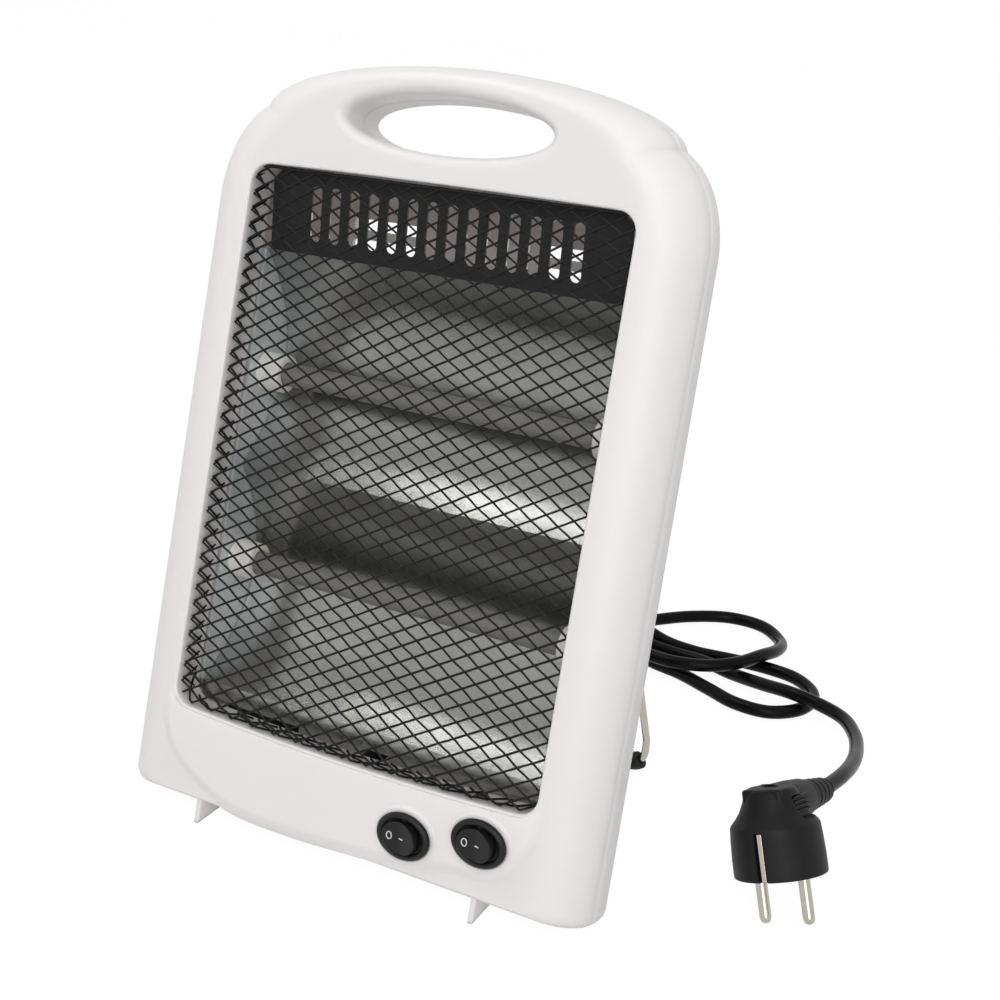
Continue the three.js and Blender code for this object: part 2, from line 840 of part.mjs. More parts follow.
function frontHousing() {
  const end = partingDepth - gap / 2;
  const outer = frontSkin(0, 0, 5);
  const inner = frontSkin(wall, partingDepth + overrun, 3);
  const posts = housingScrews.map(([, x, z]) => toSolid(rodY(postRadius, 0, end, x, z, smallSides)));
  const inside = join(
    toSolid(slab(windowShape(windowReturn), 0, end)),
    handleCollar(0, end),
    ...posts,
  ).intersect(outer);
  const pads = switchPlaces.map(([, x, z]) => toSolid(
    seatSwitch(rodY(padRadius, 0, padRise + wall, 0, 0, 2 * roundSides), x, z),
  ));
  const body = join(cut(join(outer, fin(-1), fin(1)), inner), inside, smilePanel(), ...pads);
  const holes = switchPlaces.flatMap(([, x, z]) => [
    toSolid(seatSwitch(rodY(barrelRadius + gap, -overrun, barrelDepth + overrun, 0, 0), x, z)),
    toSolid(seatSwitch(
      rodY(bezelRadius + gap, -bezelThickness - overrun, 0, 0, 0, 2 * roundSides), x, z,
    )),
  ]);
  const bores = housingScrews.map(([, x, z]) => toSolid(
    rodY(screwShank + gap, housingScrewTip - gap, partingDepth + overrun, x, z, smallSides),
  ));
  const parting = toSolid(block(
    -halfWidth - overrun, halfWidth + overrun, end, partingDepth + finRun,
    bodyBottom - gap / 2, bodyTop + overrun,
  ));
  return cut(
    body,
    toSolid(slab(windowShape(0), -bossRise - overrun, partingDepth + overrun)),
    handleCut(-overrun, partingDepth + overrun),
    parting,
    ...holes,
    ...bores,
  );
}

function ventCuts() {
  const cuts = [];
  for (const top of [ventTopZ, ventLowZ]) {
    for (let row = 0; row < ventRows; row += 1) {
      for (let column = 0; column < ventColumns; column += 1) {
        const x = (column - (ventColumns - 1) / 2) * ventPitchX;
        const z = top - row * ventPitchZ;
        cuts.push(toSolid(block(
          x - ventWidth / 2, x + ventWidth / 2, humpDepth - 2 * wall, humpDepth + overrun,
          z - ventHeight / 2, z + ventHeight / 2,
        )));
      }
    }
  }
  return cuts;
}

const reflectorScrews = [
  ['left_low', -reflectorScrewX, reflectorScrewLow],
  ['right_low', reflectorScrewX, reflectorScrewLow],
  ['left_high', -reflectorScrewX, reflectorScrewHigh],
  ['right_high', reflectorScrewX, reflectorScrewHigh],
];
const reflectorSeat = endPlateFront + sheet;

// A bracket's screw goes through its flange, on the side towards the middle
const bracketX = standX - bracketClear;
const bracketScrewX = bracketX - bracketThickness - bracketFlange / 2;

function rearHousing() {
  const start = partingDepth + gap / 2;
  const outer = join(rearSkin(0, start, 4), humpSkin(0, 4));
  const inner = join(rearSkin(wall, start - overrun, 2), humpSkin(wall, 3));
  const screwPosts = housingScrews.map(([, x, z]) => toSolid(
    rodY(postRadius, start, humpDepth, x, z, smallSides),
  ));
  const mountPosts = reflectorScrews.map(([, x, z]) => toSolid(
    rodY(mountPostRadius, reflectorSeat + gap, humpDepth, x, z, smallSides),
  ));
  const tipPost = toSolid(rodY(postRadius, tipBack + gap, humpDepth, tipX, tipPostZ, smallSides));
  const blockPost = toSolid(rodY(
    postRadius, blockBack + gap, humpDepth, blockX, blockLow + blockHeight / 2, smallSides,
  ));
  const posts = [...screwPosts, ...mountPosts, tipPost, blockPost];
  const inside = join(handleCollar(start, bodyDepth), ...posts).intersect(outer);
  const body = join(cut(outer, inner), inside);
  const bores = housingScrews.flatMap(([, x, z]) => [
    toSolid(rodY(screwShank + gap, 0, humpDepth, x, z, smallSides)),
    toSolid(rodY(screwHead + gap, housingScrewSeat, humpDepth + overrun, x, z, smallSides)),
  ]);
  const mountBores = reflectorScrews.map(([, x, z]) => toSolid(
    rodY(screwShank + gap, 0, reflectorSeat + 4 * screwHead + gap, x, z, smallSides),
  ));
  const bracketBores = [-1, 1].map((side) => toSolid(rodY(
    screwShank + gap, humpDepth - 2 * wall, humpDepth + overrun,
    side * bracketScrewX, standHingeZ, smallSides,
  )));
  const entry = toSolid(rodY(reliefNeck + gap, humpDepth - 2 * wall, humpDepth + overrun, entryX, entryZ));
  return cut(
    body,
    handleCut(0, bodyDepth + overrun),
    entry,
    ...ventCuts(),
    ...bores,
    ...mountBores,
    ...bracketBores,
  );
}

function screw(seat, tip, head) {
  const shank = toSolid(rodY(screwShank, Math.min(seat, tip), Math.max(seat, tip), 0, 0, smallSides));
  const end = seat + head * screwHeadHeight;
  return join(shank, toSolid(rodY(screwHead, Math.min(seat, end), Math.max(seat, end), 0, 0, smallSides)));
}

// Guard: a net over the window with its left, right and bottom edges bent back as bands
function diamond(halfAcross, halfUp, x, z) {
  return outlineShape([[x - halfAcross, z], [x, z - halfUp], [x + halfAcross, z], [x, z + halfUp]]);
}

function guardMesh() {
  const back = guardFront + guardDepth;
  const outer = toSolid(slab(windowShape(-gap), guardFront, back));
  const inner = toSolid(slab(
    windowShape(-gap - guardThickness), guardFront + guardThickness, back + overrun,
  ));
  const top = toSolid(block(
    -halfWidth, halfWidth, guardFront + guardThickness, back + overrun,
    windowHeight - guardTopBand, bodyTop,
  ));
  const spacing = (guardPitchX * guardPitchZ) / Math.hypot(guardPitchX, guardPitchZ);
  const open = 1 - guardWire / spacing;
  const columns = Math.ceil(windowHalfWidth / guardPitchX);
  const rows = Math.ceil(windowHeight / guardPitchZ);
  const holes = [];
  for (let row = 0; row <= 2 * rows; row += 1) {
    for (let column = -columns; column <= columns; column += 1) {
      const x = (column + (row % 2) / 2) * guardPitchX;
      const z = (row / 2) * guardPitchZ;
      holes.push(slab(
        diamond((open * guardPitchX) / 2, (open * guardPitchZ) / 2, x, z),
        guardFront - overrun,
        guardFront + guardThickness + overrun,
      ));
    }
  }
  const field = toSolid(slab(
    windowShape(-gap - guardThickness - guardBorder), guardFront - overrun, back,
  ));
  const net = holes.map(toSolid).reduce((all, hole) => all.add(hole)).intersect(field);
  const bandMiddle = guardFront + guardThickness + (guardDepth - guardThickness) / 2;
  const bandHalf = (guardDepth - guardThickness - 2 * guardBorder) / 2;
  const bandRows = Math.floor((windowHeight - guardTopBand - guardPitchZ) / guardPitchZ);
  const sideHoles = Array.from({ length: bandRows }, (unused, i) => toSolid(beam(
    diamond(bandHalf, (open * guardPitchZ) / 2, bandMiddle, (i + 1) * guardPitchZ),
    -halfWidth,
    halfWidth,
  )));
  const bandColumns = 2 * columns - 1;
  const lowHoles = Array.from({ length: bandColumns }, (unused, i) => {
    const shape = diamond((open * guardPitchX) / 2, bandHalf, (i - (bandColumns - 1) / 2) * guardPitchX, 0);
    const geometry = new THREE.ExtrudeGeometry(shape, { depth: guardPitchZ, bevelEnabled: false });
    return toSolid(geometry.translate(0, bandMiddle, -guardPitchZ / 2));
  });
  return cut(outer, inner, top, net, ...sideHoles, ...lowHoles);
}

function ventPlate() {
  const run = plateFrontLow - plateFrontHigh;
  const rise = plateHigh - plateLow;
  const tilt = Math.atan2(run, rise);
  const high = Math.hypot(run, rise);
  const shape = outlineShape([
    [-plateHalfWidth, 0], [plateHalfWidth, 0], [plateHalfWidth, high - plateCorner],
    [plateHalfWidth - plateCorner, high], [plateCorner - plateHalfWidth, high],
    [-plateHalfWidth, high - plateCorner],
  ]);
  const middle = (slotMiddle - plateLow) / Math.cos(tilt);
  const radius = slotWidth / 2;
  const straight = slotHeight / 2 - radius;
  for (let i = 0; i < slotCount; i += 1) {
    const x = (i - (slotCount - 1) / 2) * slotPitch;
    const slot = new THREE.Path();
    slot.absarc(x, middle + straight, radius, 0, Math.PI);
    slot.absarc(x, middle - straight, radius, Math.PI, 2 * Math.PI);
    slot.closePath();
    shape.holes.push(slot);
  }
  const plate = slab(shape, 0, plateThickness, 3);
  plate.rotateX(tilt);
  plate.translate(0, plateFrontLow, plateLow);
  const flange = block(
    -plateHalfWidth, plateHalfWidth, plateFrontLow, plateFrontLow + plateFlange,
    plateLow, plateLow + plateThickness,
  );
  return join(toSolid(plate), toSolid(flange));
}

// Reflector: two troughs that meet in a crease, and a strip down to the window's lower edge
function troughDepthAt(z) {
  const low = z < ridgeZ;
  const edge = low ? troughLow : troughHigh;
  const middle = (edge + ridgeZ) / 2;
  const share = (z - middle) / Math.abs(ridgeZ - middle);
  const towardsRidge = (low && z > middle) || (!low && z < middle);
  const rim = towardsRidge ? ridgeDepth : troughLip;
  return troughDepth - (troughDepth - rim) * share ** 2;
}

function reflector() {
  const front = [[troughLip, -gap]];
  for (const [from, to] of [[troughLow, ridgeZ], [ridgeZ, troughHigh]]) {
    for (let i = 0; i < troughSteps; i += 1) {
      const z = from + (i / troughSteps) * (to - from);
      front.push([troughDepthAt(z), z]);
    }
  }
  front.push([troughLip, troughHigh]);
  front[1 + troughSteps][0] = ridgeDepth;
  const back = front.map(([depth, z]) => [depth + sheet, z]).reverse();
  return toSolid(beam(outlineShape([...back, ...front]), gap - endPlateX, endPlateX - gap));
}

function endPlate(side) {
  const plate = block(
    endPlateX, endPlateX + sheet, endPlateFront, endPlateBack, troughLow, troughHigh,
  );
  const flange = block(
    endPlateX, endPlateX + endFlange, endPlateFront, endPlateFront + sheet, troughLow, troughHigh,
  );
  const leads = [tubeLowZ, tubeHighZ].map((z) => toSolid(
    rodX(terminalRadius + gap, endPlateX - overrun, endPlateX + overrun, tubeDepth, z, smallSides),
  ));
  const screws = [reflectorScrewLow, reflectorScrewHigh].map((z) => toSolid(
    rodY(screwShank + gap, 0, endPlateBack, reflectorScrewX, z, smallSides),
  ));
  const right = cut(join(toSolid(plate), toSolid(flange)), ...leads, ...screws);
  return side > 0 ? right : right.mirror([1, 0, 0]);
}

// The least gap that a round tube leaves to itself, measured on points along its middle line that are
// at least half a turn of its usual bend apart
function leastOwnGap(line, radius, bend) {
  const spacing = radius / 3;
  const points = line.getSpacedPoints(Math.ceil(line.getLength() / spacing));
  const apart = Math.ceil((Math.PI * bend) / spacing);
  let least = Infinity;
  for (let i = 0; i < points.length; i += 1) {
    for (let j = i + apart; j < points.length; j += 1) {
      least = Math.min(least, points[i].distanceTo(points[j]));
    }
  }
  return least - 2 * radius;
}

// Heating elements
class CoiledWire extends THREE.Curve {
  constructor(reach) {
    super();
    this.reach = reach;
  }

  getPoint(t, target = new THREE.Vector3()) {
    const x = (2 * t - 1) * this.reach;
    const wound = this.reach - coilLead;
    const share = Math.min(1, Math.max(0, (this.reach - Math.abs(x)) / coilLead));
    const radius = coilRadius * share * share * (3 - 2 * share);
    const angle = (x / wound) * coilCurls * Math.PI;
    return target.set(x, radius * Math.cos(angle), radius * Math.sin(angle));
  }
}

const capInner = endPlateX - gap - capLength;
const tubeReach = capInner + capSocket - gap;
const terminalInner = capInner + capSocket + gap;

function addElement(name, z) {
  const place = new THREE.Vector3(0, tubeDepth, z);
  const tube = beam(ringShape(tubeRadius, tubeBore), -tubeReach, tubeReach, roundSides / 2);
  addPiece(panel, `quartz_tube_${name}`, tube, frostedQuartz, place);
  const wire = new CoiledWire(terminalInner - gap);
  const own = leastOwnGap(wire, coilWire, coilRadius);
  console.log(`heating_coil_${name} leaves ${own.toFixed(2)} mm to itself`);
  const coil = new THREE.ExtrudeGeometry(ringShape(coilWire), {
    steps: coilCurls * coilCurlSteps,
    extrudePath: wire,
    curveSegments: coilSides / 2,
  });
  addPiece(panel, `heating_coil_${name}`, coil, resistanceWire, place);
  for (const [end, side] of [['left', -1], ['right', 1]]) {
    const body = toSolid(rodX(capRadius, capInner, capInner + capLength, 0, 0));
    const socket = toSolid(rodX(
      tubeRadius + gap + gap / 2, capInner - overrun, capInner + capSocket, 0, 0,
    ));
    const bore = toSolid(rodX(terminalRadius + gap, capInner, endPlateX, 0, 0, smallSides));
    const pin = toSolid(rodX(terminalRadius, terminalInner, endPlateX + terminalReach, 0, 0, smallSides));
    const tag = toSolid(block(
      endPlateX + terminalReach / 2, endPlateX + terminalReach + bladeLength / 2,
      -bladeThickness / 2, bladeThickness / 2, -bladeWidth / 2, bladeWidth / 2,
    ));
    const turned = (solid) => (side > 0 ? solid : solid.mirror([1, 0, 0]));
    addPiece(panel, `ceramic_cap_${name}_${end}`, turned(cut(body, socket, bore)), ceramic, place);
    addPiece(panel, `terminal_${name}_${end}`, turned(join(pin, tag)), nickel, place);
  }
}

// Rocker switches, each made round its own seat and then set in the front
function switchBody() {
  const bezel = toSolid(rodY(bezelRadius, -bezelThickness, 0, 0, 0, 2 * roundSides));
  const barrel = toSolid(rodY(barrelRadius, -bezelThickness / 2, barrelDepth, 0, 0));
  const pocket = toSolid(rodY(pocketRadius, -bezelThickness - overrun, pocketDepth, 0, 0));
  const seats = toSolid(rodZ(
    trunnionRadius + gap, -trunnionReach - gap, trunnionReach + gap, 0, -rockerAxisRise, smallSides,
  ));
  const blades = [-1, 1].map((side) => toSolid(block(
    side * bladeSpacing / 2 - bladeThickness / 2, side * bladeSpacing / 2 + bladeThickness / 2,
    barrelDepth - overrun, barrelDepth + bladeLength, -bladeWidth / 2, bladeWidth / 2,
  )));
  return join(cut(join(bezel, barrel), pocket, seats), ...blades);
}

function rocker() {
  const points = [
    [-rockerRadius, -rockerCrown - rockerLift],
    [0, -rockerCrown],
    [rockerRadius, -rockerCrown - rockerLift],
  ];
  const steps = 8;
  for (let i = 0; i <= steps; i += 1) {
    const angle = (i / steps) * Math.PI;
    points.push([rockerBelly * Math.cos(angle), rockerBelly * Math.sin(angle)]);
  }
  const geometry = new THREE.ExtrudeGeometry(outlineShape(points), {
    depth: 2 * rockerRadius,
    bevelEnabled: false,
  });
  geometry.translate(0, 0, -rockerRadius);
  const round = toSolid(rodY(rockerRadius, -pocketRadius, pocketRadius, 0, 0, 2 * roundSides));
  const trunnions = toSolid(rodZ(trunnionRadius, -trunnionReach, trunnionReach, 0, 0, smallSides));
  return join(toSolid(geometry).intersect(round), trunnions);
}

function addSwitch(name, x, z) {
  const seat = new THREE.Group();
  seat.position.set(x, -padRise, z);
  seat.rotation.x = switchTilt;
  panel.add(seat);
  addPiece(seat, `switch_body_${name}`, switchBody(), blackPlastic, new THREE.Vector3(0, -gap, 0));
  const axis = new THREE.Vector3(0, -rockerAxisRise - gap, 0);
  addPiece(seat, `rocker_${name}`, rocker(), blackPlastic, axis).rotation.z = -rockerThrow;
}

// Stand
const footZ = (() => {
  const lift = finFront * Math.sin(lean) - finTip * Math.cos(lean);
  return (sleeveRadius - lift + footDepth * Math.sin(lean)) / Math.cos(lean);
})();
const kneeZ = footZ + kneeRise;
const standCorner = (side, x, depth, z) => new THREE.Vector3(side * x, depth, z);

function standWire() {
  const half = (side) => [
    standCorner(side, standX - standStub, standHingeDepth, standHingeZ),
    standCorner(side, standX, standHingeDepth, standHingeZ),
    standCorner(side, footX, kneeDepth, kneeZ),
    standCorner(side, footX, footDepth, footZ),
  ];
  const corners = [...half(-1), ...half(1).reverse()];
  const bends = [standBend, footBend, footBend, footBend, footBend, standBend];
  return sweep(ringShape(wireRadius), roundedRoute(corners, bends), wireSides);
}

function rubberSleeve(side) {
  const foot = standCorner(side, footX, footDepth, footZ);
  const knee = standCorner(side, footX, kneeDepth, kneeZ);
  const up = knee.clone().sub(foot).normalize();
  const start = foot.clone().addScaledVector(up, footBend + gap);
  const end = foot.clone().setX(side * (footX - sleeveLength));
  const bend = roundedRoute([start, foot, end], [footBend]).points;
  const half = new Route(bend.slice(1 + bendSteps / 2));
  return sweep(ringShape(sleeveRadius, wireRadius + gap + gap / 2), half, smallSides);
}

function standBracket(side) {
  const wallFace = humpDepth + gap;
  const legDirection = new THREE.Vector2(kneeDepth - standHingeDepth, kneeZ - standHingeZ).normalize();
  const stopOffset = wireRadius + stopRadius + gap;
  const stopDepth = standHingeDepth + stopAlong * legDirection.x - stopOffset * legDirection.y;
  const stopZ = standHingeZ + stopAlong * legDirection.y + stopOffset * legDirection.x;
  const shape = outlineShape([
    [wallFace, standHingeZ - bracketHeight / 2],
    [stopDepth, stopZ - bracketNose],
    [stopDepth + bracketNose, stopZ],
    [stopDepth, stopZ + bracketNose],
    [standHingeDepth + bracketNose, standHingeZ + bracketNose],
    [standHingeDepth, standHingeZ + bracketHeight / 2],
    [wallFace, standHingeZ + bracketHeight / 2],
  ]);
  const inner = bracketX - bracketThickness;
  const plate = toSolid(beam(shape, inner, bracketX));
  const flange = toSolid(block(
    inner - bracketFlange, bracketX, wallFace, wallFace + bracketFlangeThickness,
    standHingeZ - bracketHeight / 2, standHingeZ + bracketHeight / 2,
  ));
  const stop = toSolid(rodX(stopRadius, inner, bracketX + stopReach, stopDepth, stopZ, smallSides));
  const bore = toSolid(rodX(
    wireRadius + gap, inner - overrun, bracketX + overrun, standHingeDepth, standHingeZ,
  ));
  const screwHole = toSolid(rodY(
    screwShank + gap, 0, humpDepth + humpInset, bracketScrewX, standHingeZ, smallSides,
  ));
  const right = cut(join(plate, flange, stop), bore, screwHole);
  return side > 0 ? right : right.mirror([1, 0, 0]);
}

// Pieces inside the body
function thermalCutout() {
  const disc = rodY(cutoutRadius, cutoutFront, cutoutFront + cutoutThickness, cutoutX, ridgeZ);
  const tab = block(
    cutoutX - cutoutTab, cutoutX + cutoutTab, cutoutTabStart, cutoutFront + cutoutThickness / 2,
    ridgeZ - cutoutTabHalf, ridgeZ + cutoutTabHalf,
  );
  const blades = [-1, 1].map((side) => toSolid(block(
    cutoutX + (side * bladeSpacing) / 2 - bladeThickness / 2,
    cutoutX + (side * bladeSpacing) / 2 + bladeThickness / 2,
    cutoutFront, cutoutFront + cutoutThickness + bladeLength / 2,
    ridgeZ - bladeWidth / 2, ridgeZ + bladeWidth / 2,
  )));
  return join(toSolid(disc), toSolid(tab), ...blades);
}

const tipPivotZ = tipTop - tipPivotDrop;

function tipSwitchBody() {
  const box = block(
    tipX - tipHalfWidth, tipX + tipHalfWidth, tipFront, tipBack, tipBottom, tipTop,
  );
  const room = block(
    tipX - tipHalfWidth + tipWall, tipX + tipHalfWidth - tipWall, tipFront + tipWall, tipBack - tipWall,
    tipBottom - overrun, tipTop - tipWall,
  );
  const pivot = rodX(
    tipPinRadius + gap, tipX - tipHalfWidth - overrun, tipX + tipHalfWidth + overrun,
    tipPivotDepth, tipPivotZ, smallSides,
  );
  return cut(toSolid(box), toSolid(room), toSolid(pivot));
}

function tipPendulum() {
  const pin = rodX(tipPinRadius, -tipHalfWidth, tipHalfWidth, 0, 0, smallSides);
  const arm = block(-tipArmHalf, tipArmHalf, -tipArmHalf, tipArmHalf, -tipArm, 0);
  const weight = block(
    -tipWeightHalfWidth, tipWeightHalfWidth, -tipWeightHalf, tipWeightHalf,
    -tipArm - tipWeightHeight / 2, -tipArm + tipWeightHeight / 2,
  );
  return join(toSolid(pin), toSolid(arm), toSolid(weight));
}

function terminalBlock() {
  const top = blockLow + blockHeight;
  const body = toSolid(block(
    blockX - blockHalfWidth, blockX + blockHalfWidth, blockFront, blockBack, blockLow, top,
  ));
  const middle = (blockFront + blockBack) / 2;
  const screws = [-1, 0, 1].map((i) => toSolid(rodZ(
    blockScrewRadius, blockLow + blockHeight / 2, top + blockScrewRise,
    blockX + i * blockPitch, middle, smallSides,
  )));
  return join(body, ...screws);
}

// The cord's entry in the back, and the lead from it to the terminal block
function cordStrainRelief() {
  const face = humpDepth + gap;
  const inside = humpDepth - wall - gap;
  const flange = rodY(reliefFlangeRadius, face, face + reliefFlange, entryX, entryZ);
  const neck = rodY(reliefNeck, inside - reliefInner, face + reliefFlange, entryX, entryZ);
  const collar = rodY(reliefFlangeRadius, inside - reliefInner, inside, entryX, entryZ);
  const taper = rodY(
    reliefThick, face, face + reliefFlange + reliefLength, entryX, entryZ, roundSides, reliefThin,
  );
  return join(toSolid(flange), toSolid(neck), toSolid(collar), toSolid(taper));
}

function innerLead() {
  const start = humpDepth - wall - 2 * gap - reliefInner;
  const middle = (blockFront + blockBack) / 2;
  const top = blockLow + blockHeight + blockScrewRise + gap;
  const turn = troughLip + leadClear;
  const corners = [
    new THREE.Vector3(entryX, start, entryZ),
    new THREE.Vector3(entryX, turn, entryZ),
    new THREE.Vector3(blockX + blockPitch, middle, top + leadDrop),
    new THREE.Vector3(blockX + blockPitch, middle, top),
  ];
  return sweep(ringShape(cordRadius), roundedRoute(corners, [leadBend, leadBend]), leadSides);
}

// Cord and plug
function powerCord() {
  const points = cordRoute.map(([x, y, z]) => new THREE.Vector3(x, y, z));
  const route = new THREE.CatmullRomCurve3(points, false, 'centripetal');
  route.arcLengthDivisions = 12 * cordRoute.length;
  const own = leastOwnGap(route, cordRadius, 3 * cordRadius);
  console.log(`power_cord leaves ${own.toFixed(2)} mm to itself`);
  return new THREE.ExtrudeGeometry(ringShape(cordRadius), {
    steps: cordSteps,
    extrudePath: route,
    curveSegments: cordSides / 2,
  });
}

const rim = pinLength;

function plugBody() {
  const skirt = rodZ(plugRadius, rim, rim + plugSkirt, 0, 0, 2 * roundSides);
  const waist = rodZ(plugRadius, rim + plugSkirt, rim + plugWaist, 0, 0, 2 * roundSides, plugWaistRadius);
  const dome = rodZ(plugWaistRadius, rim + plugWaist, rim + plugTop, 0, 0, 2 * roundSides, plugTopRadius);
  const arm = rodY(plugArmRadius, 0, plugArmLength, 0, rim + plugArmZ, roundSides, plugArmEnd);
  const top = block(
    -plugTopWidth, plugTopWidth, -plugTopDepth, plugTopDepth, rim + plugWaist, rim + plugTop + gap,
  );
  const pins = [-1, 1].map((side) => toSolid(
    rodZ(pinRadius + gap, rim - overrun, rim + pinHidden + gap, side * pinSpacing / 2, 0, smallSides),
  ));
  const channels = [-1, 1].map((side) => toSolid(block(
    -earthChannel, earthChannel,
    Math.min(side * (plugRadius - earthSink - earthThickness - gap), side * (plugRadius + overrun)),
    Math.max(side * (plugRadius - earthSink - earthThickness - gap), side * (plugRadius + overrun)),
    rim - overrun, rim + earthHeight + gap,
  )));
  const grips = [-1, 1].map((side) => toSolid(block(
    Math.min(side * gripWidth, side * plugRadius), Math.max(side * gripWidth, side * plugRadius),
    -plugTopDepth + gripDepth, plugArmLength / 2, rim + plugWaist + gripDepth, rim + plugTop - gripDepth,
  )));
  const body = join(toSolid(skirt), toSolid(waist), toSolid(dome), toSolid(arm), toSolid(top));
  return cut(body, ...pins, ...channels, ...grips);
}

function plugPin() {
  const shaft = rodZ(pinRadius, pinTip, rim + pinHidden, 0, 0, smallSides);
  const tip = rodZ(pinTipRadius, 0, pinTip, 0, 0, smallSides, pinRadius);
  return join(toSolid(shaft), toSolid(tip));
}

function earthContact() {
  return block(
    -earthHalfWidth, earthHalfWidth, -earthThickness, 0, rim + gap, rim + earthHeight,
  );
}

function plugStrainRelief() {
  const start = plugArmLength + gap;
  return rodY(plugReliefRadius, start, start + plugReliefLength, 0, 0, roundSides, plugReliefEnd);
}

function addPlug() {
  const plug = new THREE.Group();
  plug.position.copy(plugPlace);
  plug.rotation.copy(plugTilt);
  heater.add(plug);
  addPiece(plug, 'plug_body', plugBody(), blackPlastic);
  for (const [name, side] of [['left', -1], ['right', 1]]) {
    addPiece(plug, `plug_pin_${name}`, plugPin(), nickel, new THREE.Vector3(side * pinSpacing / 2, 0, 0));
  }
  const contactFace = plugRadius - earthSink;
  addPiece(plug, 'earth_contact_back', earthContact(), nickel, new THREE.Vector3(0, contactFace, 0));
  addPiece(plug, 'earth_contact_front', earthContact(), nickel,
    new THREE.Vector3(0, earthThickness - contactFace, 0));
  addPiece(plug, 'plug_strain_relief', plugStrainRelief(), blackPlastic,
    new THREE.Vector3(0, 0, rim + plugArmZ));
}

addPiece(panel, 'front_housing', frontHousing(), whitePlastic);
addPiece(panel, 'rear_housing', rearHousing(), whitePlastic);
addPiece(panel, 'guard_mesh', guardMesh(), blackSteel);
addPiece(panel, 'vent_plate', ventPlate(), blackSteel);
addPiece(panel, 'reflector', reflector(), brightSheet);
addPiece(panel, 'end_plate_left', endPlate(-1), brightSheet);
addPiece(panel, 'end_plate_right', endPlate(1), brightSheet);
addElement('lower', tubeLowZ);
addElement('upper', tubeHighZ);
for (const [name, x, z] of switchPlaces) {
  addSwitch(name, x, z);
}
addPiece(panel, 'stand_wire', standWire(), nickel);
for (const [name, side] of [['left', -1], ['right', 1]]) {
  addPiece(panel, `rubber_sleeve_${name}`, rubberSleeve(side), rubber);
  addPiece(panel, `stand_bracket_${name}`, standBracket(side), whitePlastic);
  const seat = humpDepth + gap + bracketFlangeThickness + gap;
  addPiece(panel, `bracket_screw_${name}`, screw(seat, humpDepth - 2 * wall, 1), nickel,
    new THREE.Vector3(side * bracketScrewX, 0, standHingeZ));
}
for (const [name, x, z] of housingScrews) {
  const shape = screw(housingScrewSeat + gap, housingScrewTip, 1);
  addPiece(panel, `housing_screw_${name}`, shape, nickel, new THREE.Vector3(x, 0, z));
}
for (const [name, x, z] of reflectorScrews) {
  const shape = screw(endPlateFront - gap, reflectorSeat + 4 * screwHead, -1);
  addPiece(panel, `reflector_screw_${name}`, shape, nickel, new THREE.Vector3(x, 0, z));
}
addPiece(panel, 'thermal_cutout', thermalCutout(), blackPlastic);
addPiece(panel, 'tip_switch_body', tipSwitchBody(), blackPlastic);
addPiece(panel, 'tip_pendulum', tipPendulum(), nickel, new THREE.Vector3(tipX, tipPivotDepth, tipPivotZ))
  .rotation.x = lean;
addPiece(panel, 'terminal_block', terminalBlock(), ceramic);
addPiece(panel, 'cord_strain_relief', cordStrainRelief(), blackPlastic);
addPiece(panel, 'inner_lead', innerLead(), blackPlastic);

// The heater stands on the fins and the stand's foot, with the middle of its own box over the origin
heater.updateMatrixWorld(true);
const reach = new THREE.Box3().setFromObject(panel, true);
panel.position.set(0, -(reach.min.y + reach.max.y) / 2, -reach.min.z);

addPiece(heater, 'power_cord', powerCord(), blackPlastic);
addPlug();

export default heater;
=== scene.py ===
import math

import bmesh
import bpy
from bpy.props import FloatProperty, FloatVectorProperty, IntProperty, PointerProperty
from mathutils import Euler, Matrix, Vector


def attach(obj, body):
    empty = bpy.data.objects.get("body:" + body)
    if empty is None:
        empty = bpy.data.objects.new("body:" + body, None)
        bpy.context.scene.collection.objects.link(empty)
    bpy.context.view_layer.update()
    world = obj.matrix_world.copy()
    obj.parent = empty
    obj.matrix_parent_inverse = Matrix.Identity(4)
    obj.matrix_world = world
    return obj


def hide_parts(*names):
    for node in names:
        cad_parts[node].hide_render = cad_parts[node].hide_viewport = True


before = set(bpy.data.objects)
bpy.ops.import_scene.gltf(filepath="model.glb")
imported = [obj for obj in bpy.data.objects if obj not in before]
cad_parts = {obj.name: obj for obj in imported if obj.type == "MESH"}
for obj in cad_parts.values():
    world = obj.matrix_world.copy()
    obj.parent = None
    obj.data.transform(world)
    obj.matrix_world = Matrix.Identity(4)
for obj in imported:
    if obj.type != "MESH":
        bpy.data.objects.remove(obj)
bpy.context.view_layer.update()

bl_info = {
    "name": "Quartz heater",
    "version": (1, 0, 0),
    "blender": (4, 5, 0),
    "location": "3D View > Sidebar > Heater",
    "description": "Builds a quartz heater with a wire guard, a folding stand, its cord and plug",
    "category": "Object",
}

MM = 0.001
TURN = 2 * math.pi
LEAN = math.radians(14)
SIDES = (("left", -1), ("right", 1))

# The panel stands on its stand: x to the right, y back from the front face, z up the panel, in mm
PANEL = (
    Matrix.Translation((0, -62.12 * MM, 47.301 * MM))
    @ Matrix.Rotation(-LEAN, 4, "X")
    @ Matrix.Scale(MM, 4)
)
ROOM = Matrix.Scale(MM, 4)

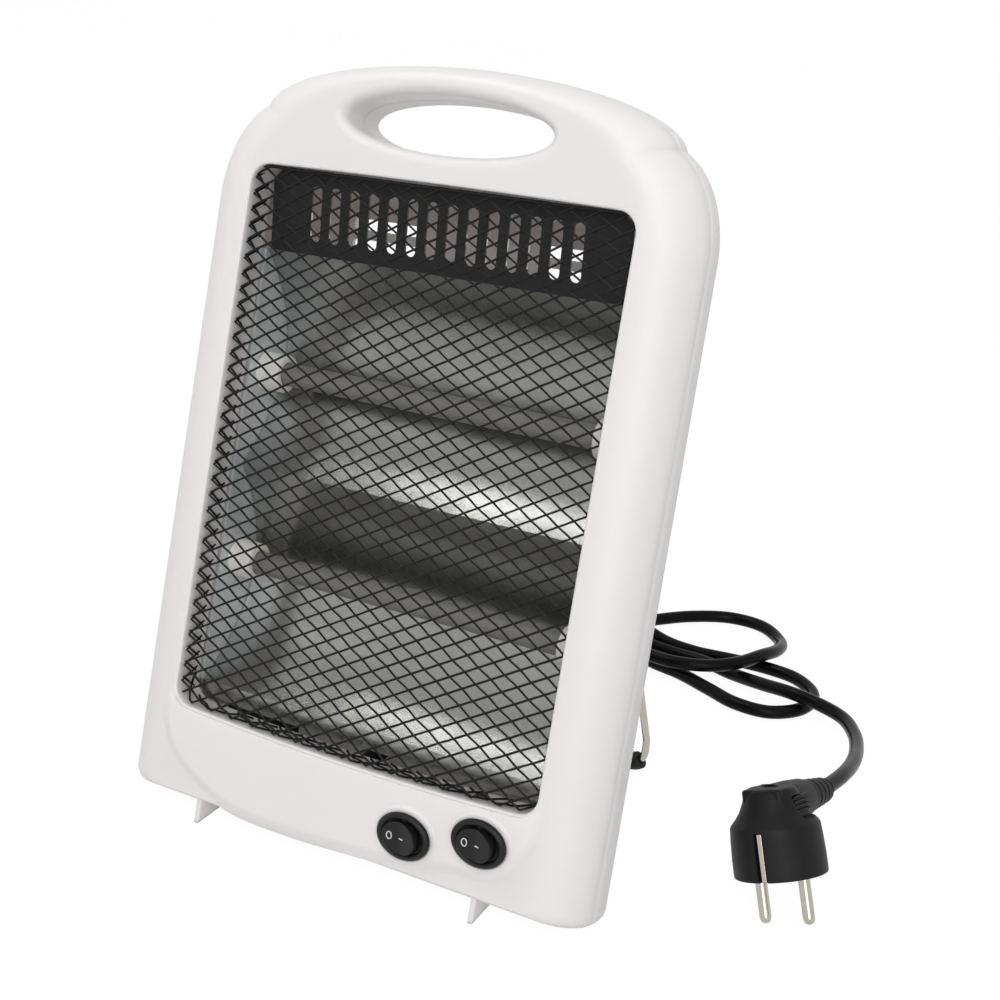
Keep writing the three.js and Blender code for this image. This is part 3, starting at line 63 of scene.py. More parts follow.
# Housing outline on the panel, in mm
HALF_WIDTH = 112.5
TOP = 282.2
BOTTOM = -41.5
ARCH_HALF_WIDTH = 93.5
ARCH_RISE = 24.2
SHOULDER_X = 82.8
SHOULDER_Z = 219.5
SHOULDER_RISE = 42.8
CORNER = 5.5
EDGE_DEPTH = 23.2
SIDE_ROUND = 23.2
TOP_ROUND = 8.4
BOTTOM_ROUND = 4.7
PARTING = 16
BACK = 33.5
BACK_ROUND = 10.3
BACK_LEAN = 3.2
BACK_MIDDLE = 120
BACK_REACH = 162
HUMP_BACK = 52
HUMP_HALF_WIDTH = 101.4
HUMP_TOP = 232.5
HUMP_BOTTOM = -33.5
HUMP_INSET = 17.6
HUMP_CORNER = 26
HUMP_ROOT = 26
GAP = 0.3
SEAM_EDGE = 0.5

# Window, handle and the raised panel of the switches
WINDOW_HALF_WIDTH = 86.9
WINDOW_HEIGHT = 233.2
WINDOW_CORNER = 8.4
WINDOW_SAG = 2.3
WINDOW_CROWN = 0.7
GUARD_FRONT = 1.6
HANDLE_Z = 257.1
FIN_X = 67
FIN_FOOT = -48.5
SMILE = [
    (-0.794, 0.178), (-0.736, 0.47), (-0.616, 0.689), (-0.449, 0.863), (-0.19, 0.892),
    (0.1, 0.851), (0.331, 0.8), (0.43, 0.735), (0.51, 0.7), (0.603, 0.69),
    (0.692, 0.586), (0.738, 0.4), (0.776, 0.231), (0.784, 0.06),
]
SWITCHES = {"left": (33.8, -22.3), "right": (66.6, -15.0)}
SWITCH_TILT = math.radians(8)
SWITCH_THROW = math.radians(9)
SWITCH_WIDE = 1.07
SWITCH_TALL = 0.88
PAD_RISE = 1.3
BARREL_RADIUS = 10.2
BARREL_LENGTH = 15
ROCKER_FACE = -2.42
TRUNNION_DEPTH = -0.8

# Vent slots in the back: the middle of each block's highest slot
VENT_X = 46
VENT_TOPS = (216.2, 57)
VENT_ROWS = 4

# Inside
RIDGE_Z = 104.2
RIDGE_DEPTH = 23.3
TROUGH_LOW = 7.4
TROUGH_HIGH = 198.7
TROUGH_LIP = 18.7
TROUGH_DEPTH = 44.6
END_PLATE_X = 86.6
END_PLATE_FRONT = 18.4
END_PLATE_BACK = 46.3
FLANGE_SCREW_X = 92.4
FLANGE_SCREW_LOW = 22
FLANGE_SCREW_HIGH = 182
CAP_LENGTH = 11.8
CAP_SEAT = 7
WIRE_END = 6.8
SLOTTED_HALF_WIDTH = 82.2
SLOTTED_LOW = (14.9, 199)
SLOTTED_HIGH = (9.3, 232.2)
SLOT_MIDDLE = 215.8
SLOT_SHINE_Z = 250 * MM
TUBE_DEPTH = 30.7
TUBES = {"lower": 61.8, "upper": 146.0}

# Stand: the wire's corners, in (y, z)
STAND_X = 76
FOOT_X = 81
HINGE = (55.8, 120.9)
KNEE = (137.3, 2.95)
FOOT = (140.09, -9.49)
FOOT_BEND = 8
BRACKET_SCREW_X = 61.2

# Screws, and the wells of those on the back
SCREW_HOLE = 1.8
WELL_FLOOR = 26
HOUSING_SCREWS = {
    "left_low": (-101, -26), "right_low": (101, -26),
    "left_middle": (-101.6, 100), "right_middle": (101.6, 100),
    "left_top": (-68, 254), "right_top": (68, 254),
}
REFLECTOR_SCREWS = {
    "left_low": (-FLANGE_SCREW_X, FLANGE_SCREW_LOW), "right_low": (FLANGE_SCREW_X, FLANGE_SCREW_LOW),
    "left_high": (-FLANGE_SCREW_X, FLANGE_SCREW_HIGH), "right_high": (FLANGE_SCREW_X, FLANGE_SCREW_HIGH),
}

# The cord's route on the surface, in mm, the same as in the part's source
CORD_ROUTE = [
    (20, 21.6, 41.8), (20, 36, 37.9), (20, 54, 30.5), (20, 73, 21.5), (18, 92, 12.6),
    (13, 112, 6), (6, 134, 3.8), (2, 158, 3.8), (2, 182, 3.8), (9.5, 206, 3.8),
    (25, 227, 3.8), (41, 243, 3.8), (60.5, 253.5, 3.8), (80, 252, 3.8), (94.5, 238, 3.8),
    (98.5, 218, 8), (95.5, 199, 12), (87.5, 182, 12.4), (75, 171, 12), (58, 166, 11.6),
    (39, 166.5, 11.6), (20, 163, 11.6), (3, 151, 11.6), (-12, 134, 8), (-33, 122, 3.8),
    (-56, 129, 3.8), (-65, 151, 3.8), (-54, 172, 3.8), (-30, 179, 5.5), (-4, 180, 11.6),
    (21, 178, 9), (42, 175.4, 3.8), (61, 170.2, 3.8), (79.5, 162, 3.8), (97, 154.5, 3.8),
    (115, 155, 3.8), (128, 168, 3.8), (128.5, 186, 3.8), (115.5, 199, 3.8), (97.5, 202.5, 3.8),
    (78, 201.5, 3.8), (58, 199.5, 3.8), (40, 199.7, 5.5), (20, 204.5, 10.4), (2, 213, 11.6),
    (-16, 226, 8), (-37, 235, 3.8), (-60, 231, 3.8), (-72, 211, 3.8), (-62, 190.5, 3.8),
    (-38, 187.5, 5), (-12, 190, 9.5), (9, 191.8, 11.6), (31, 191, 6), (50, 191.8, 3.8),
    (66, 191, 3.8), (84, 185.5, 3.8), (104, 174.5, 8), (121, 166.5, 11.6), (137, 163.5, 11),
    (151.5, 155, 11.5), (162, 137, 14), (168.5, 115, 18), (172.3, 90, 24), (173, 67, 29.5),
    (171, 46.2, 33.3),
]
CORD_STEPS = 12
CORD_ENTRY = (20, 0, 15)

# Light from all sides on the object, against 1 for the white that is seen
SKY_LEVEL = 0.54

# Plug: its own frame has the pins' tips at zero and the pins along z
PLUG = (
    Matrix.Translation((176.65 * MM, -12 * MM, 4.25 * MM))
    @ Euler((math.radians(-15.2), math.radians(-22.1), math.radians(-6)), "XYZ").to_matrix().to_4x4()
    @ Matrix.Scale(MM, 4)
)
RIM = 19
CORD_ARM = RIM + 26
PIN_X = 9.5
EARTH_SHIFT = 1.5


def linear(colour):
    """A hex sRGB colour as linear red, green, blue and alpha."""
    def channel(value):
        return value / 12.92 if value <= 0.04045 else ((value + 0.055) / 1.055) ** 2.4

    red, green, blue = (int(colour[i:i + 2], 16) / 255 for i in (1, 3, 5))
    return channel(red), channel(green), channel(blue), 1


def length(name, text, value):
    return FloatProperty(name=name, description=text, default=value * MM, min=0, precision=4, unit="LENGTH")


def colour(name, text, value):
    return FloatVectorProperty(
        name=name, description=text, default=linear(value), size=4, min=0, max=1, subtype="COLOR",
    )


class HeaterHousingSizes(bpy.types.PropertyGroup):
    wall: length("Wall", "Thickness of the moulded shells", 2.3)
    window_edge: length("Window edge", "Rounding round the window's front edge", 0.9)
    handle_half_width: length("Handle half width", "Half the width of the handle's hole", 46.5)
    handle_half_height: length("Handle half height", "Half the height of the handle's hole", 11.6)
    handle_edge: length("Handle edge", "Rounding round the handle's hole", 4.7)
    panel_rise: length("Panel rise", "How far the switch panel stands forward", 1.3)
    pad_radius: length("Pad radius", "Radius of the round seat under each switch", 13.6)
    vent_width: length("Vent width", "Width of one slot in the back", 36)
    vent_height: length("Vent height", "Height of one slot in the back", 4.7)
    vent_pitch: length("Vent pitch", "Distance from one slot in the back to the next", 9)


class HeaterGuardSizes(bpy.types.PropertyGroup):
    pitch_x: length("Pitch across", "Width of one diamond of the guard", 11.6)
    pitch_z: length("Pitch up", "Height of one diamond of the guard", 6.8)
    wire: length("Wire", "Diameter of the guard's wire", 0.95)
    depth: length("Depth", "How far the guard's edges turn back", 9.8)


class HeaterElementSizes(bpy.types.PropertyGroup):
    sheet: length("Sheet", "Thickness of the reflector's sheet", 0.8)
    tube_radius: length("Tube radius", "Radius of a quartz tube", 5)
    tube_bore: length("Tube bore", "Inner radius of a quartz tube", 3.9)
    cap_radius: length("Cap radius", "Radius of a ceramic end cap", 8.35)
    coil_curls: IntProperty(name="Coil curls", description="Curls of one heating wire", default=60, min=4)
    slots: IntProperty(name="Slots", description="Slots in the black plate", default=14, min=1)
    slot_pitch: length("Slot pitch", "Distance from one slot to the next", 9.25)
    slot_width: length("Slot width", "Width of one slot", 4.8)
    slot_height: length("Slot height", "Height of one slot", 23.3)


class HeaterSwitchSizes(bpy.types.PropertyGroup):
    bezel_radius: length("Bezel radius", "Outer radius of a switch", 11.25)
    pocket_radius: length("Pocket radius", "Radius of the opening round the rocker", 8.6)
    rocker_radius: length("Rocker radius", "Radius of the rocker", 7.6)


class HeaterStandSizes(bpy.types.PropertyGroup):
    wire_radius: length("Wire radius", "Radius of the stand's wire", 1.75)
    sleeve_radius: length("Sleeve radius", "Outer radius of a rubber sleeve", 4.2)


class HeaterCordSizes(bpy.types.PropertyGroup):
    radius: length("Cord radius", "Radius of the cord", 3.4)
    pin_radius: length("Pin radius", "Radius of a plug pin", 2.4)
    plug_radius: length("Plug radius", "Radius of the plug at its face", 18.6)


class HeaterColours(bpy.types.PropertyGroup):
    housing: colour("Housing", "White moulded plastic", "#ece7e6")
    black_plastic: colour("Black plastic", "Switches and plug", "#111112")
    enamel: colour("Enamel", "Black wire and black plate", "#0a0a0a")
    aluminium: colour("Aluminium", "Bright reflector sheet", "#a6a6a3")
    end_sheet: colour("End sheet", "Dull bright sheet at the reflector's ends", "#e4e8ea")
    quartz: colour("Quartz", "Frosted tubes", "#7c7a78")
    ceramic: colour("Ceramic", "End caps", "#edeae3")
    nickel: colour("Nickel", "Stand, pins and screws", "#b4afa5")
    rubber: colour("Rubber", "Sleeves on the stand", "#101010")
    cord: colour("Cord", "Cord jacket", "#0b0b0b")
    mark: colour("Mark", "Printed marks on the switches", "#d8d8d8")
    backdrop: colour("Backdrop", "Floor and background", "#ffffff")


def sizes(group):
    return getattr(bpy.context.scene, "heater_" + group)


def mm(value):
    return value / MM


# Nodes and materials

def add_node(tree, kind, inputs=None, **settings):
    """Adds one shader node with its settings; an input is a value, or the socket that feeds it."""
    made = tree.nodes.new(kind)
    for name, value in settings.items():
        setattr(made, name, value)
    for name, value in (inputs or {}).items():
        if isinstance(value, bpy.types.NodeSocket):
            tree.links.new(value, made.inputs[name])
        else:
            made.inputs[name].default_value = value
    return made


def surface(name, base, inputs):
    """A material with one Principled shader; also its tree, shader and places in the object's metres."""
    made = bpy.data.materials.new(name)
    made.use_nodes = True
    tree = made.node_tree
    tree.nodes.clear()
    shader = add_node(tree, "ShaderNodeBsdfPrincipled", {"Base Color": base, **inputs})
    add_node(tree, "ShaderNodeOutputMaterial", {"Surface": shader.outputs["BSDF"]})
    places = add_node(tree, "ShaderNodeTexCoord").outputs["Object"]
    return made, tree, shader, places


def noise(tree, places, grain, detail=2.0, roughness=0.5, stretch=(1, 1, 1)):
    """Noise whose grain is given in mm."""
    mapped = add_node(tree, "ShaderNodeMapping", {"Vector": places, "Scale": stretch})
    return add_node(tree, "ShaderNodeTexNoise", {
        "Vector": mapped.outputs["Vector"], "Scale": 1 / (grain * MM), "Detail": detail,
        "Roughness": roughness,
    }).outputs["Fac"]


def bump(tree, shader, height, depth, strength=1.0):
    """Bump whose depth is given in mm."""
    made = add_node(tree, "ShaderNodeBump", {"Height": height, "Distance": depth * MM, "Strength": strength})
    tree.links.new(made.outputs["Normal"], shader.inputs["Normal"])


def vary(tree, shader, socket, value, low, high):
    made = add_node(tree, "ShaderNodeMapRange", {"Value": value, "To Min": low, "To Max": high})
    tree.links.new(made.outputs["Result"], shader.inputs[socket])


def tint(tree, shader, value, first, second):
    mixed = add_node(tree, "ShaderNodeMix", {0: value, 6: first, 7: second}, data_type="RGBA")
    tree.links.new(mixed.outputs[2], shader.inputs["Base Color"])


def shade(fill, factor):
    return tuple(min(1, channel * factor) for channel in fill[:3]) + (1,)


def coat(name, fill, inputs, tone, grain=None, gloss=None):
    """A material whose colour drifts with tone, relief with grain and roughness with gloss.

    Each begins with its noise: tone (mm, darker, lighter), grain ((mm, detail), depth in mm, strength)
    and gloss (mm, low, high).
    """
    made, tree, shader, places = surface(name, fill, inputs)
    if grain:
        bump(tree, shader, noise(tree, places, *grain[0]), *grain[1:])
    if gloss:
        vary(tree, shader, "Roughness", noise(tree, places, gloss[0]), *gloss[1:])
    tint(tree, shader, noise(tree, places, tone[0]), *(shade(fill, factor) for factor in tone[1:]))
    return made


def moulded_abs(fill):
    """Injection moulded ABS: an even soft gloss, with a grain just fine enough to break highlights."""
    return coat("moulded_white_abs", fill, {
        "Roughness": 0.42, "IOR": 1.53, "Subsurface Weight": 0.7, "Subsurface Radius": (1, 0.95, 0.92),
        "Subsurface Scale": 6 * MM,
    }, (70, 0.975, 1.015), ((0.9, 3), 0.012, 0.5), (40, 0.36, 0.48))


def black_enamel(name, fill, rough):
    """Baked black enamel on steel: near black, with a slightly uneven low gloss."""
    return coat(name, fill, {
        "Roughness": rough, "IOR": 1.5, "Specular IOR Level": 0.2,
    }, (11, 0.7, 1.7), ((1.1, 3), 0.02, 0.6), (7, rough - 0.08, rough + 0.1))


def rolled_aluminium(name, fill, rough, wave, depth):
    """Bright rolled aluminium sheet: a mirror gone soft, wavy from pressing, with fine rolling lines."""
    made, tree, shader, places = surface(name, fill, {"Roughness": rough, "Metallic": 1.0})
    waves = noise(tree, places, wave, 2, 0.45)
    lines = noise(tree, places, 1.4, 2, 0.6, (0.04, 1, 1))
    both = add_node(tree, "ShaderNodeMath", {0: lines, 1: 0.005, 2: waves}, operation="MULTIPLY_ADD")
    bump(tree, shader, both.outputs[0], depth)
    vary(tree, shader, "Roughness", noise(tree, places, 18), rough - 0.06, rough + 0.09)
    tint(tree, shader, noise(tree, places, 25), shade(fill, 0.9), shade(fill, 1.06))
    return made


def frosted_quartz(fill):
    """Drawn quartz glass, frosted: a grey satin rod with a long soft highlight."""
    drawn = (0.7, 2, 0.5, (0.2, 1, 1))
    inputs = {"Roughness": 0.34, "IOR": 1.46}
    return coat("frosted_quartz_glass", fill, inputs, (12, 0.85, 1.12), (drawn, 0.02))


def steatite(fill):
    """Pressed and fired steatite: off white, dense and matt, with faint specks."""
    inputs = {"Roughness": 0.55, "IOR": 1.6}
    return coat("fired_white_steatite", fill, inputs, (3, 0.9, 1), ((0.6, 3), 0.03))


def nickel_plate(fill):
    """Nickel plate on drawn steel: warm bright metal with faint draw marks along the rod."""
    inputs = {"Roughness": 0.14, "Metallic": 1.0}
    return coat("bright_nickel_plate", fill, inputs, (9, 0.88, 1.06), ((1.0, 2), 0.008), (4, 0.1, 0.2))


def oxidised_wire():
    """Heating alloy after firing: a dull brown grey oxide skin."""
    inputs = {"Roughness": 0.55, "Metallic": 0.7}
    return coat("oxidised_heating_wire", linear("#5d5349"), inputs, (1.5, 0.8, 1.2))


def grained_black(name, fill, rough, grain, depth, gloss=0.25):
    """Black thermoplastic from a textured mould: dark grey sheen on a fine even grain."""
    return coat(name, fill, {
        "Roughness": rough, "IOR": 1.5, "Specular IOR Level": gloss,
    }, (14, 0.85, 1.2), ((grain, 3), depth, 0.7), (9, rough - 0.06, rough + 0.08))


def printed_mark(fill):
    """Pad printed ink: matt, slightly uneven pale grey."""
    return coat("printed_pale_ink", fill, {"Roughness": 0.6}, (0.8, 0.85, 1))


FINISHES = {}


def make_finishes():
    fill = sizes("colours")
    FINISHES.update({
        "white_plastic": moulded_abs(fill.housing),
        "black_net": black_enamel("enamelled_guard_wire", fill.enamel, 0.42),
        "black_plate": black_enamel("enamelled_black_sheet", shade(fill.enamel, 5), 0.48),
        "bright_sheet": rolled_aluminium("rolled_bright_aluminium", fill.aluminium, 0.2, 30, 0.45),
        "end_sheet": rolled_aluminium("pressed_bright_aluminium", fill.end_sheet, 0.62, 12, 1.0),
        "frosted_quartz": frosted_quartz(fill.quartz),
        "ceramic": steatite(fill.ceramic),
        "nickel": nickel_plate(fill.nickel),
        "resistance_wire": oxidised_wire(),
        "black_plastic": grained_black("moulded_black_plastic", fill.black_plastic, 0.42, 0.5, 0.02),
        "plug_plastic": grained_black("moulded_black_pvc", fill.black_plastic, 0.5, 0.7, 0.03, 0.18),
        "black_rubber": grained_black("moulded_black_rubber", fill.rubber, 0.6, 0.8, 0.03),
        "cord_jacket": grained_black("extruded_black_pvc_jacket", fill.cord, 0.26, 2.5, 0.01, 0.08),
        "mark": printed_mark(fill.mark),
    })


# Meshes, in mm until they are set in place

def add_object(name, data):
    made = bpy.data.objects.new(name, data)
    bpy.context.scene.collection.objects.link(made)
    return made


def mesh_object(name, verts, faces):
    mesh = bpy.data.meshes.new(name)
    mesh.from_pydata([tuple(point) for point in verts], [], faces)
    work = bmesh.new()
    work.from_mesh(mesh)
    bmesh.ops.remove_doubles(work, verts=work.verts, dist=1e-4)
    bmesh.ops.recalc_face_normals(work, faces=work.faces)
    work.to_mesh(mesh)
    work.free()
    return add_object(name, mesh)


def belt(near, far, count):
    """The faces between two rings of points."""
    return [(near + i, near + (i + 1) % count, far + (i + 1) % count, far + i) for i in range(count)]


def loft(name, rings, closed=False):
    """A skin through rings of the same count, with flat ends unless it closes on itself."""
    count = len(rings[0])
    total = len(rings)
    faces = []
    for ring in range(total if closed else total - 1):
        faces += belt(ring * count, (ring + 1) % total * count, count)
    if not closed:
        faces.append(tuple(range(count)))
        faces.append(tuple(range((total - 1) * count, total * count)))
    return mesh_object(name, [point for ring in rings for point in ring], faces)


def turned(name, profile, start=(0, 0, 0), axis="Y", sides=64, hollow=False):
    """A solid of revolution; the profile lists (distance along the axis, radius)."""
    along, right, up = {
        "X": (Vector((1, 0, 0)), Vector((0, 1, 0)), Vector((0, 0, 1))),
        "Y": (Vector((0, 1, 0)), Vector((0, 0, 1)), Vector((1, 0, 0))),
        "Z": (Vector((0, 0, 1)), Vector((1, 0, 0)), Vector((0, 1, 0))),
    }[axis]
    origin = Vector(start)
    rings = []
    for distance, radius in profile:
        rings.append([
            origin + along * distance
            + (right * math.cos(TURN * i / sides) + up * math.sin(TURN * i / sides)) * radius
            for i in range(sides)
        ])
    return loft(name, rings, hollow)


def rod(name, near, far, radius, start=(0, 0, 0), axis="Y", sides=64):
    return turned(name, [(near, radius), (far, radius)], start, axis, sides)


def tube(path, radius, sides):
    """The points and faces of a round bar along a path, its section carried along without twist."""
    path = [Vector(point) for point in path]
    tangents = []
    for i in range(len(path)):
        before, after = path[max(i - 1, 0)], path[min(i + 1, len(path) - 1)]
        tangents.append((after - before).normalized())
    normal = tangents[0].orthogonal().normalized()
    verts, faces = [], []
    for i, (point, tangent) in enumerate(zip(path, tangents)):
        if i:
            normal = (tangents[i - 1].rotation_difference(tangent) @ normal).normalized()
        side = tangent.cross(normal)
        for k in range(sides):
            angle = TURN * k / sides
            verts.append(point + (normal * math.cos(angle) + side * math.sin(angle)) * radius)
        if i:
            faces += belt((i - 1) * sides, i * sides, sides)
    last = (len(path) - 1) * sides
    faces.append(tuple(range(sides)))
    faces.append(tuple(range(last, last + sides)))
    return verts, faces


def tubes(name, paths, radius, sides=6):
    verts, faces = [], []
    for path in paths:
        more, skin = tube(path, radius, sides)
        base = len(verts)
        verts += more
        faces += [tuple(base + i for i in face) for face in skin]
    return mesh_object(name, verts, faces)


def block(name, *ends):
    """A box from its two ends along x, y and z, each pair in either order."""
    (x0, x1), (y0, y1), (z0, z1) = (sorted(ends[i:i + 2]) for i in (0, 2, 4))
    low = [(x0, y0, z0), (x1, y0, z0), (x1, y1, z0), (x0, y1, z0)]
    return loft(name, [low, [(x, y, z1) for x, y, _ in low]])


def prism(name, outline, *across):
    """A solid with the same outline, in (y, z), at each of its places across."""
    return loft(name, [[(x, y, z) for y, z in outline] for x in across])


def slab(name, outline, *depths):
    """A solid with the same outline, in (x, z), at each of its depths."""
    return loft(name, [[(x, depth, z) for x, z in outline] for depth in depths])


def settle(made):
    """Turns an object's modifiers into its mesh."""
    bpy.context.view_layer.update()
    graph = bpy.context.evaluated_depsgraph_get()
    mesh = bpy.data.meshes.new_from_object(made.evaluated_get(graph))
    old = made.data
    made.modifiers.clear()
    made.data = mesh
    bpy.data.meshes.remove(old)
    return made


def combine(made, tools, operation):
    for tool in tools:
        step = made.modifiers.new(operation.lower(), "BOOLEAN")
        step.object = tool
        step.operation = operation
        step.solver = "MANIFOLD"
        settle(made)
        bpy.data.objects.remove(tool)
    return made


def join(made, *tools):
    return combine(made, tools, "UNION")


def cut(made, *tools):
    return combine(made, tools, "DIFFERENCE")


def common(made, *tools):
    return combine(made, tools, "INTERSECT")


def soften(made, width, segments=2, angle=35):
    step = made.modifiers.new("soften", "BEVEL")
    step.width = width
    step.segments = segments
    step.limit_method = "ANGLE"
    step.angle_limit = math.radians(angle)
    return settle(made)


def piece(made, finish, body="heater", replaces=(), place=PANEL, sharp=32):
    """Sets a mesh in its place, gives it its finish, and hangs it on the body it moves with."""
    made.data.transform(place)
    made.data.update()
    made.data.shade_smooth()
    made.data.set_sharp_from_angle(angle=math.radians(sharp))
    step = made.modifiers.new("weighted", "WEIGHTED_NORMAL")
    step.keep_sharp = True
    made.data.materials.clear()
    made.data.materials.append(FINISHES[finish])
    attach(made, body)
    if replaces:
        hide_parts(*([replaces] if isinstance(replaces, str) else replaces))
    return made


def dress(node, finish):
    """Gives a CAD solid that stays its finish."""
    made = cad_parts[node]
    made.data.materials.clear()
    made.data.materials.append(FINISHES[finish])


# Housing

def arc(centre, radii, start, end, steps):
    return [
        (
            centre[0] + radii[0] * math.cos(start + (end - start) * i / steps),
            centre[1] + radii[1] * math.sin(start + (end - start) * i / steps),
        )
        for i in range(steps + 1)
    ]


def body_outline():
    """The body seen from the front: straight sides, round shoulders, and the handle's arch above a notch."""
    arch_z = TOP - ARCH_RISE
    low, high = 0.0, math.pi / 2
    for _ in range(40):
        angle = (low + high) / 2
        x = SHOULDER_X + (HALF_WIDTH - SHOULDER_X) * math.cos(angle)
        z = SHOULDER_Z + SHOULDER_RISE * math.sin(angle)
        outside = (x / ARCH_HALF_WIDTH) ** 2 + ((z - arch_z) / ARCH_RISE) ** 2 > 1
        low, high = (angle, high) if outside else (low, angle)
    corner = (HALF_WIDTH - CORNER, BOTTOM + CORNER)
    right = arc(corner, (CORNER, CORNER), -math.pi / 2, 0, 8)
    right += arc((SHOULDER_X, SHOULDER_Z), (HALF_WIDTH - SHOULDER_X, SHOULDER_RISE), 0, low, 30)
    x, z = right[-1]
    start = math.atan2((z - arch_z) / ARCH_RISE, x / ARCH_HALF_WIDTH)
    right += arc((0, arch_z), (ARCH_HALF_WIDTH, ARCH_RISE), start, math.pi / 2, 44)[1:]
    left = [(-x, z) for x, z in reversed(right[:-1])]
    return right + left


OUTLINE = body_outline()


def edge_ring(depth, drawn, share):
    """The body's outline drawn in all round, and further by a share of the rounding of its edge."""
    side, top, bottom = (drawn + part * share for part in (SIDE_ROUND, TOP_ROUND, BOTTOM_ROUND))
    height = TOP - BOTTOM
    narrow = (HALF_WIDTH - side) / HALF_WIDTH
    return [
        (x * narrow, depth, BOTTOM + bottom + (z - BOTTOM) * (height - top - bottom) / height)
        for x, z in OUTLINE
    ]


def quarter(radius, steps):
    """A quarter circle that rounds an edge, as (how far in, how much is left)."""
    turns = [i / steps * math.pi / 2 for i in range(steps + 1)]
    return [(radius * (1 - math.cos(turn)), radius * (1 - math.sin(turn))) for turn in turns]


def front_skin(name, inset, end):
    last = math.acos(1 - (PARTING - inset) / EDGE_DEPTH)
    rings = []
    steps = 14
    edge = 0 if inset else SEAM_EDGE
    for i in range(steps + 1):
        angle = i / steps * last
        depth = min(inset + EDGE_DEPTH * (1 - math.cos(angle)), end - edge)
        rings.append(edge_ring(depth, inset, 1 - math.sin(angle)))
    for depth, drawn in ((end - edge * 0.4, edge * 0.2), (end, edge * 0.8)):
        rings.append(edge_ring(depth, inset + drawn, 1 - math.sin(last)))
    return loft(name, rings)


def on_back(ring):
    """The back leans against the front: a little deeper at the bottom than at the top."""
    deeper = [BACK_LEAN * max(0, depth - PARTING) / (BACK - PARTING) for _, depth, _ in ring]
    return [
        (x, depth + more * (BACK_MIDDLE - z) / BACK_REACH, z)
        for (x, depth, z), more in zip(ring, deeper)
    ]


def back_skin(name, inset, start):
    first = math.acos(1 - PARTING / EDGE_DEPTH)
    edge = 0 if inset else SEAM_EDGE
    rings = []
    for i in range(6):
        angle = first + i / 5 * (math.pi / 2 - first)
        drawn = inset if i else inset + edge
        depth = max(start + edge, EDGE_DEPTH * (1 - math.cos(angle))) if i else start
        rings.append(edge_ring(depth, drawn, 1 - math.sin(angle)))
    for drawn, left in quarter(BACK_ROUND, 10)[1:]:
        rings.append(edge_ring(BACK - inset - left, inset + drawn, 0))
    return loft(name, [on_back(ring) for ring in rings])


def rounded_box(half, low, high, radius, steps=10):
    points = []
    for x, z, start in (
        (half - radius, low + radius, -math.pi / 2), (half - radius, high - radius, 0),
        (radius - half, high - radius, math.pi / 2), (radius - half, low + radius, math.pi),
    ):
        points += arc((x, z), (radius, radius), start, start + math.pi / 2, steps)
    return points


def hump_skin(name, inset):
    rings = []
    for i in range(-1, 13):
        angle = max(i, 0) / 12 * math.pi / 2
        drawn = inset + HUMP_INSET * (1 - math.cos(angle))
        depth = HUMP_ROOT if i < 0 else BACK - inset + (HUMP_BACK - BACK) * math.sin(angle)
        rings.append([
            (x, depth, z) for x, z in rounded_box(
                HUMP_HALF_WIDTH - drawn, HUMP_BOTTOM + drawn, HUMP_TOP - drawn, HUMP_CORNER - drawn / 2,
            )
        ])
    return loft(name, rings)


def window_outline(grow, steps=8):
    half, low, high = WINDOW_HALF_WIDTH + grow, -grow, WINDOW_HEIGHT + grow
    radius = WINDOW_CORNER + grow
    straight = half - radius

    def bow(z, sag, direction):
        return [
            (direction * (-straight + 2 * straight * i / 16), z + sag * (1 - (2 * i / 16 - 1) ** 2))
            for i in range(1, 16)
        ]

    corners = rounded_box(half, low, high, radius, steps)
    right, left = corners[:2 * steps + 2], corners[2 * steps + 2:]
    return bow(low, -WINDOW_SAG, 1) + right + bow(high, WINDOW_CROWN, -1) + left


def window_cutter(edge):
    return loft("window", [
        [(x, depth, z) for x, z in window_outline(grow)]
        for depth, grow in [(-6, edge), *quarter(edge, 5), (PARTING + 4, 0)]
    ])


def handle_ring(depth, grow):
    size = sizes("housing")
    radii = mm(size.handle_half_width) + grow, mm(size.handle_half_height) + grow
    return [(x, depth, z) for x, z in arc((0, HANDLE_Z), radii, 0, TURN, 96)[:-1]]


def handle_cutter(back):
    edge = mm(sizes("housing").handle_edge)
    rounding = quarter(edge, 8)
    if back:
        rings = [handle_ring(4, 0)]
        rings += [on_back(handle_ring(BACK - depth, grow)) for depth, grow in reversed(rounding)]
        rings += [on_back(handle_ring(BACK + 4, edge))]
    else:
        rings = [handle_ring(-4, edge)] + [handle_ring(depth, grow) for depth, grow in rounding]
        rings += [handle_ring(PARTING + 10, 0)]
    return loft("handle_hole", rings)


def smile_line():
    """The raised panel's outline: one smooth line through its points, as shares of the body's size."""
    points = [Vector((across * HALF_WIDTH, down * BOTTOM)) for across, down in SMILE]
    line = []
    for i in range(len(points) - 1):
        a, b, c, d = (points[max(0, min(len(points) - 1, i + k))] for k in (-1, 0, 1, 2))
        for step in range(12):
            t = step / 12
            line.append(0.5 * (
                2 * b + (c - a) * t + (2 * a - 5 * b + 4 * c - d) * t * t + (3 * b - a - 3 * c + d) * t ** 3
            ))
    line.append(points[-1])
    return line


def raised_panel():
    line = smile_line()
    rise = mm(sizes("housing").panel_rise)
    soft = 6
    normals = []
    for i in range(len(line)):
        tangent = (line[min(i + 2, len(line) - 1)] - line[max(i - 2, 0)]).normalized()
        normals.append(Vector((-tangent.y, tangent.x)))
    rings = []
    for depth, out in [(1, soft * 0.5)] + [
        (0.04 - (rise + 0.04) * t * t * (3 - 2 * t), soft * (0.5 - t)) for t in (i / 10 for i in range(11))
    ]:
        ring = [(p.x - n.x * out, depth, p.y - n.y * out) for p, n in zip(line, normals)]
        ring += [(ring[-1][0], depth, 3), (ring[0][0], depth, 3)]
        rings.append(ring)
    return loft("raised_panel", rings)


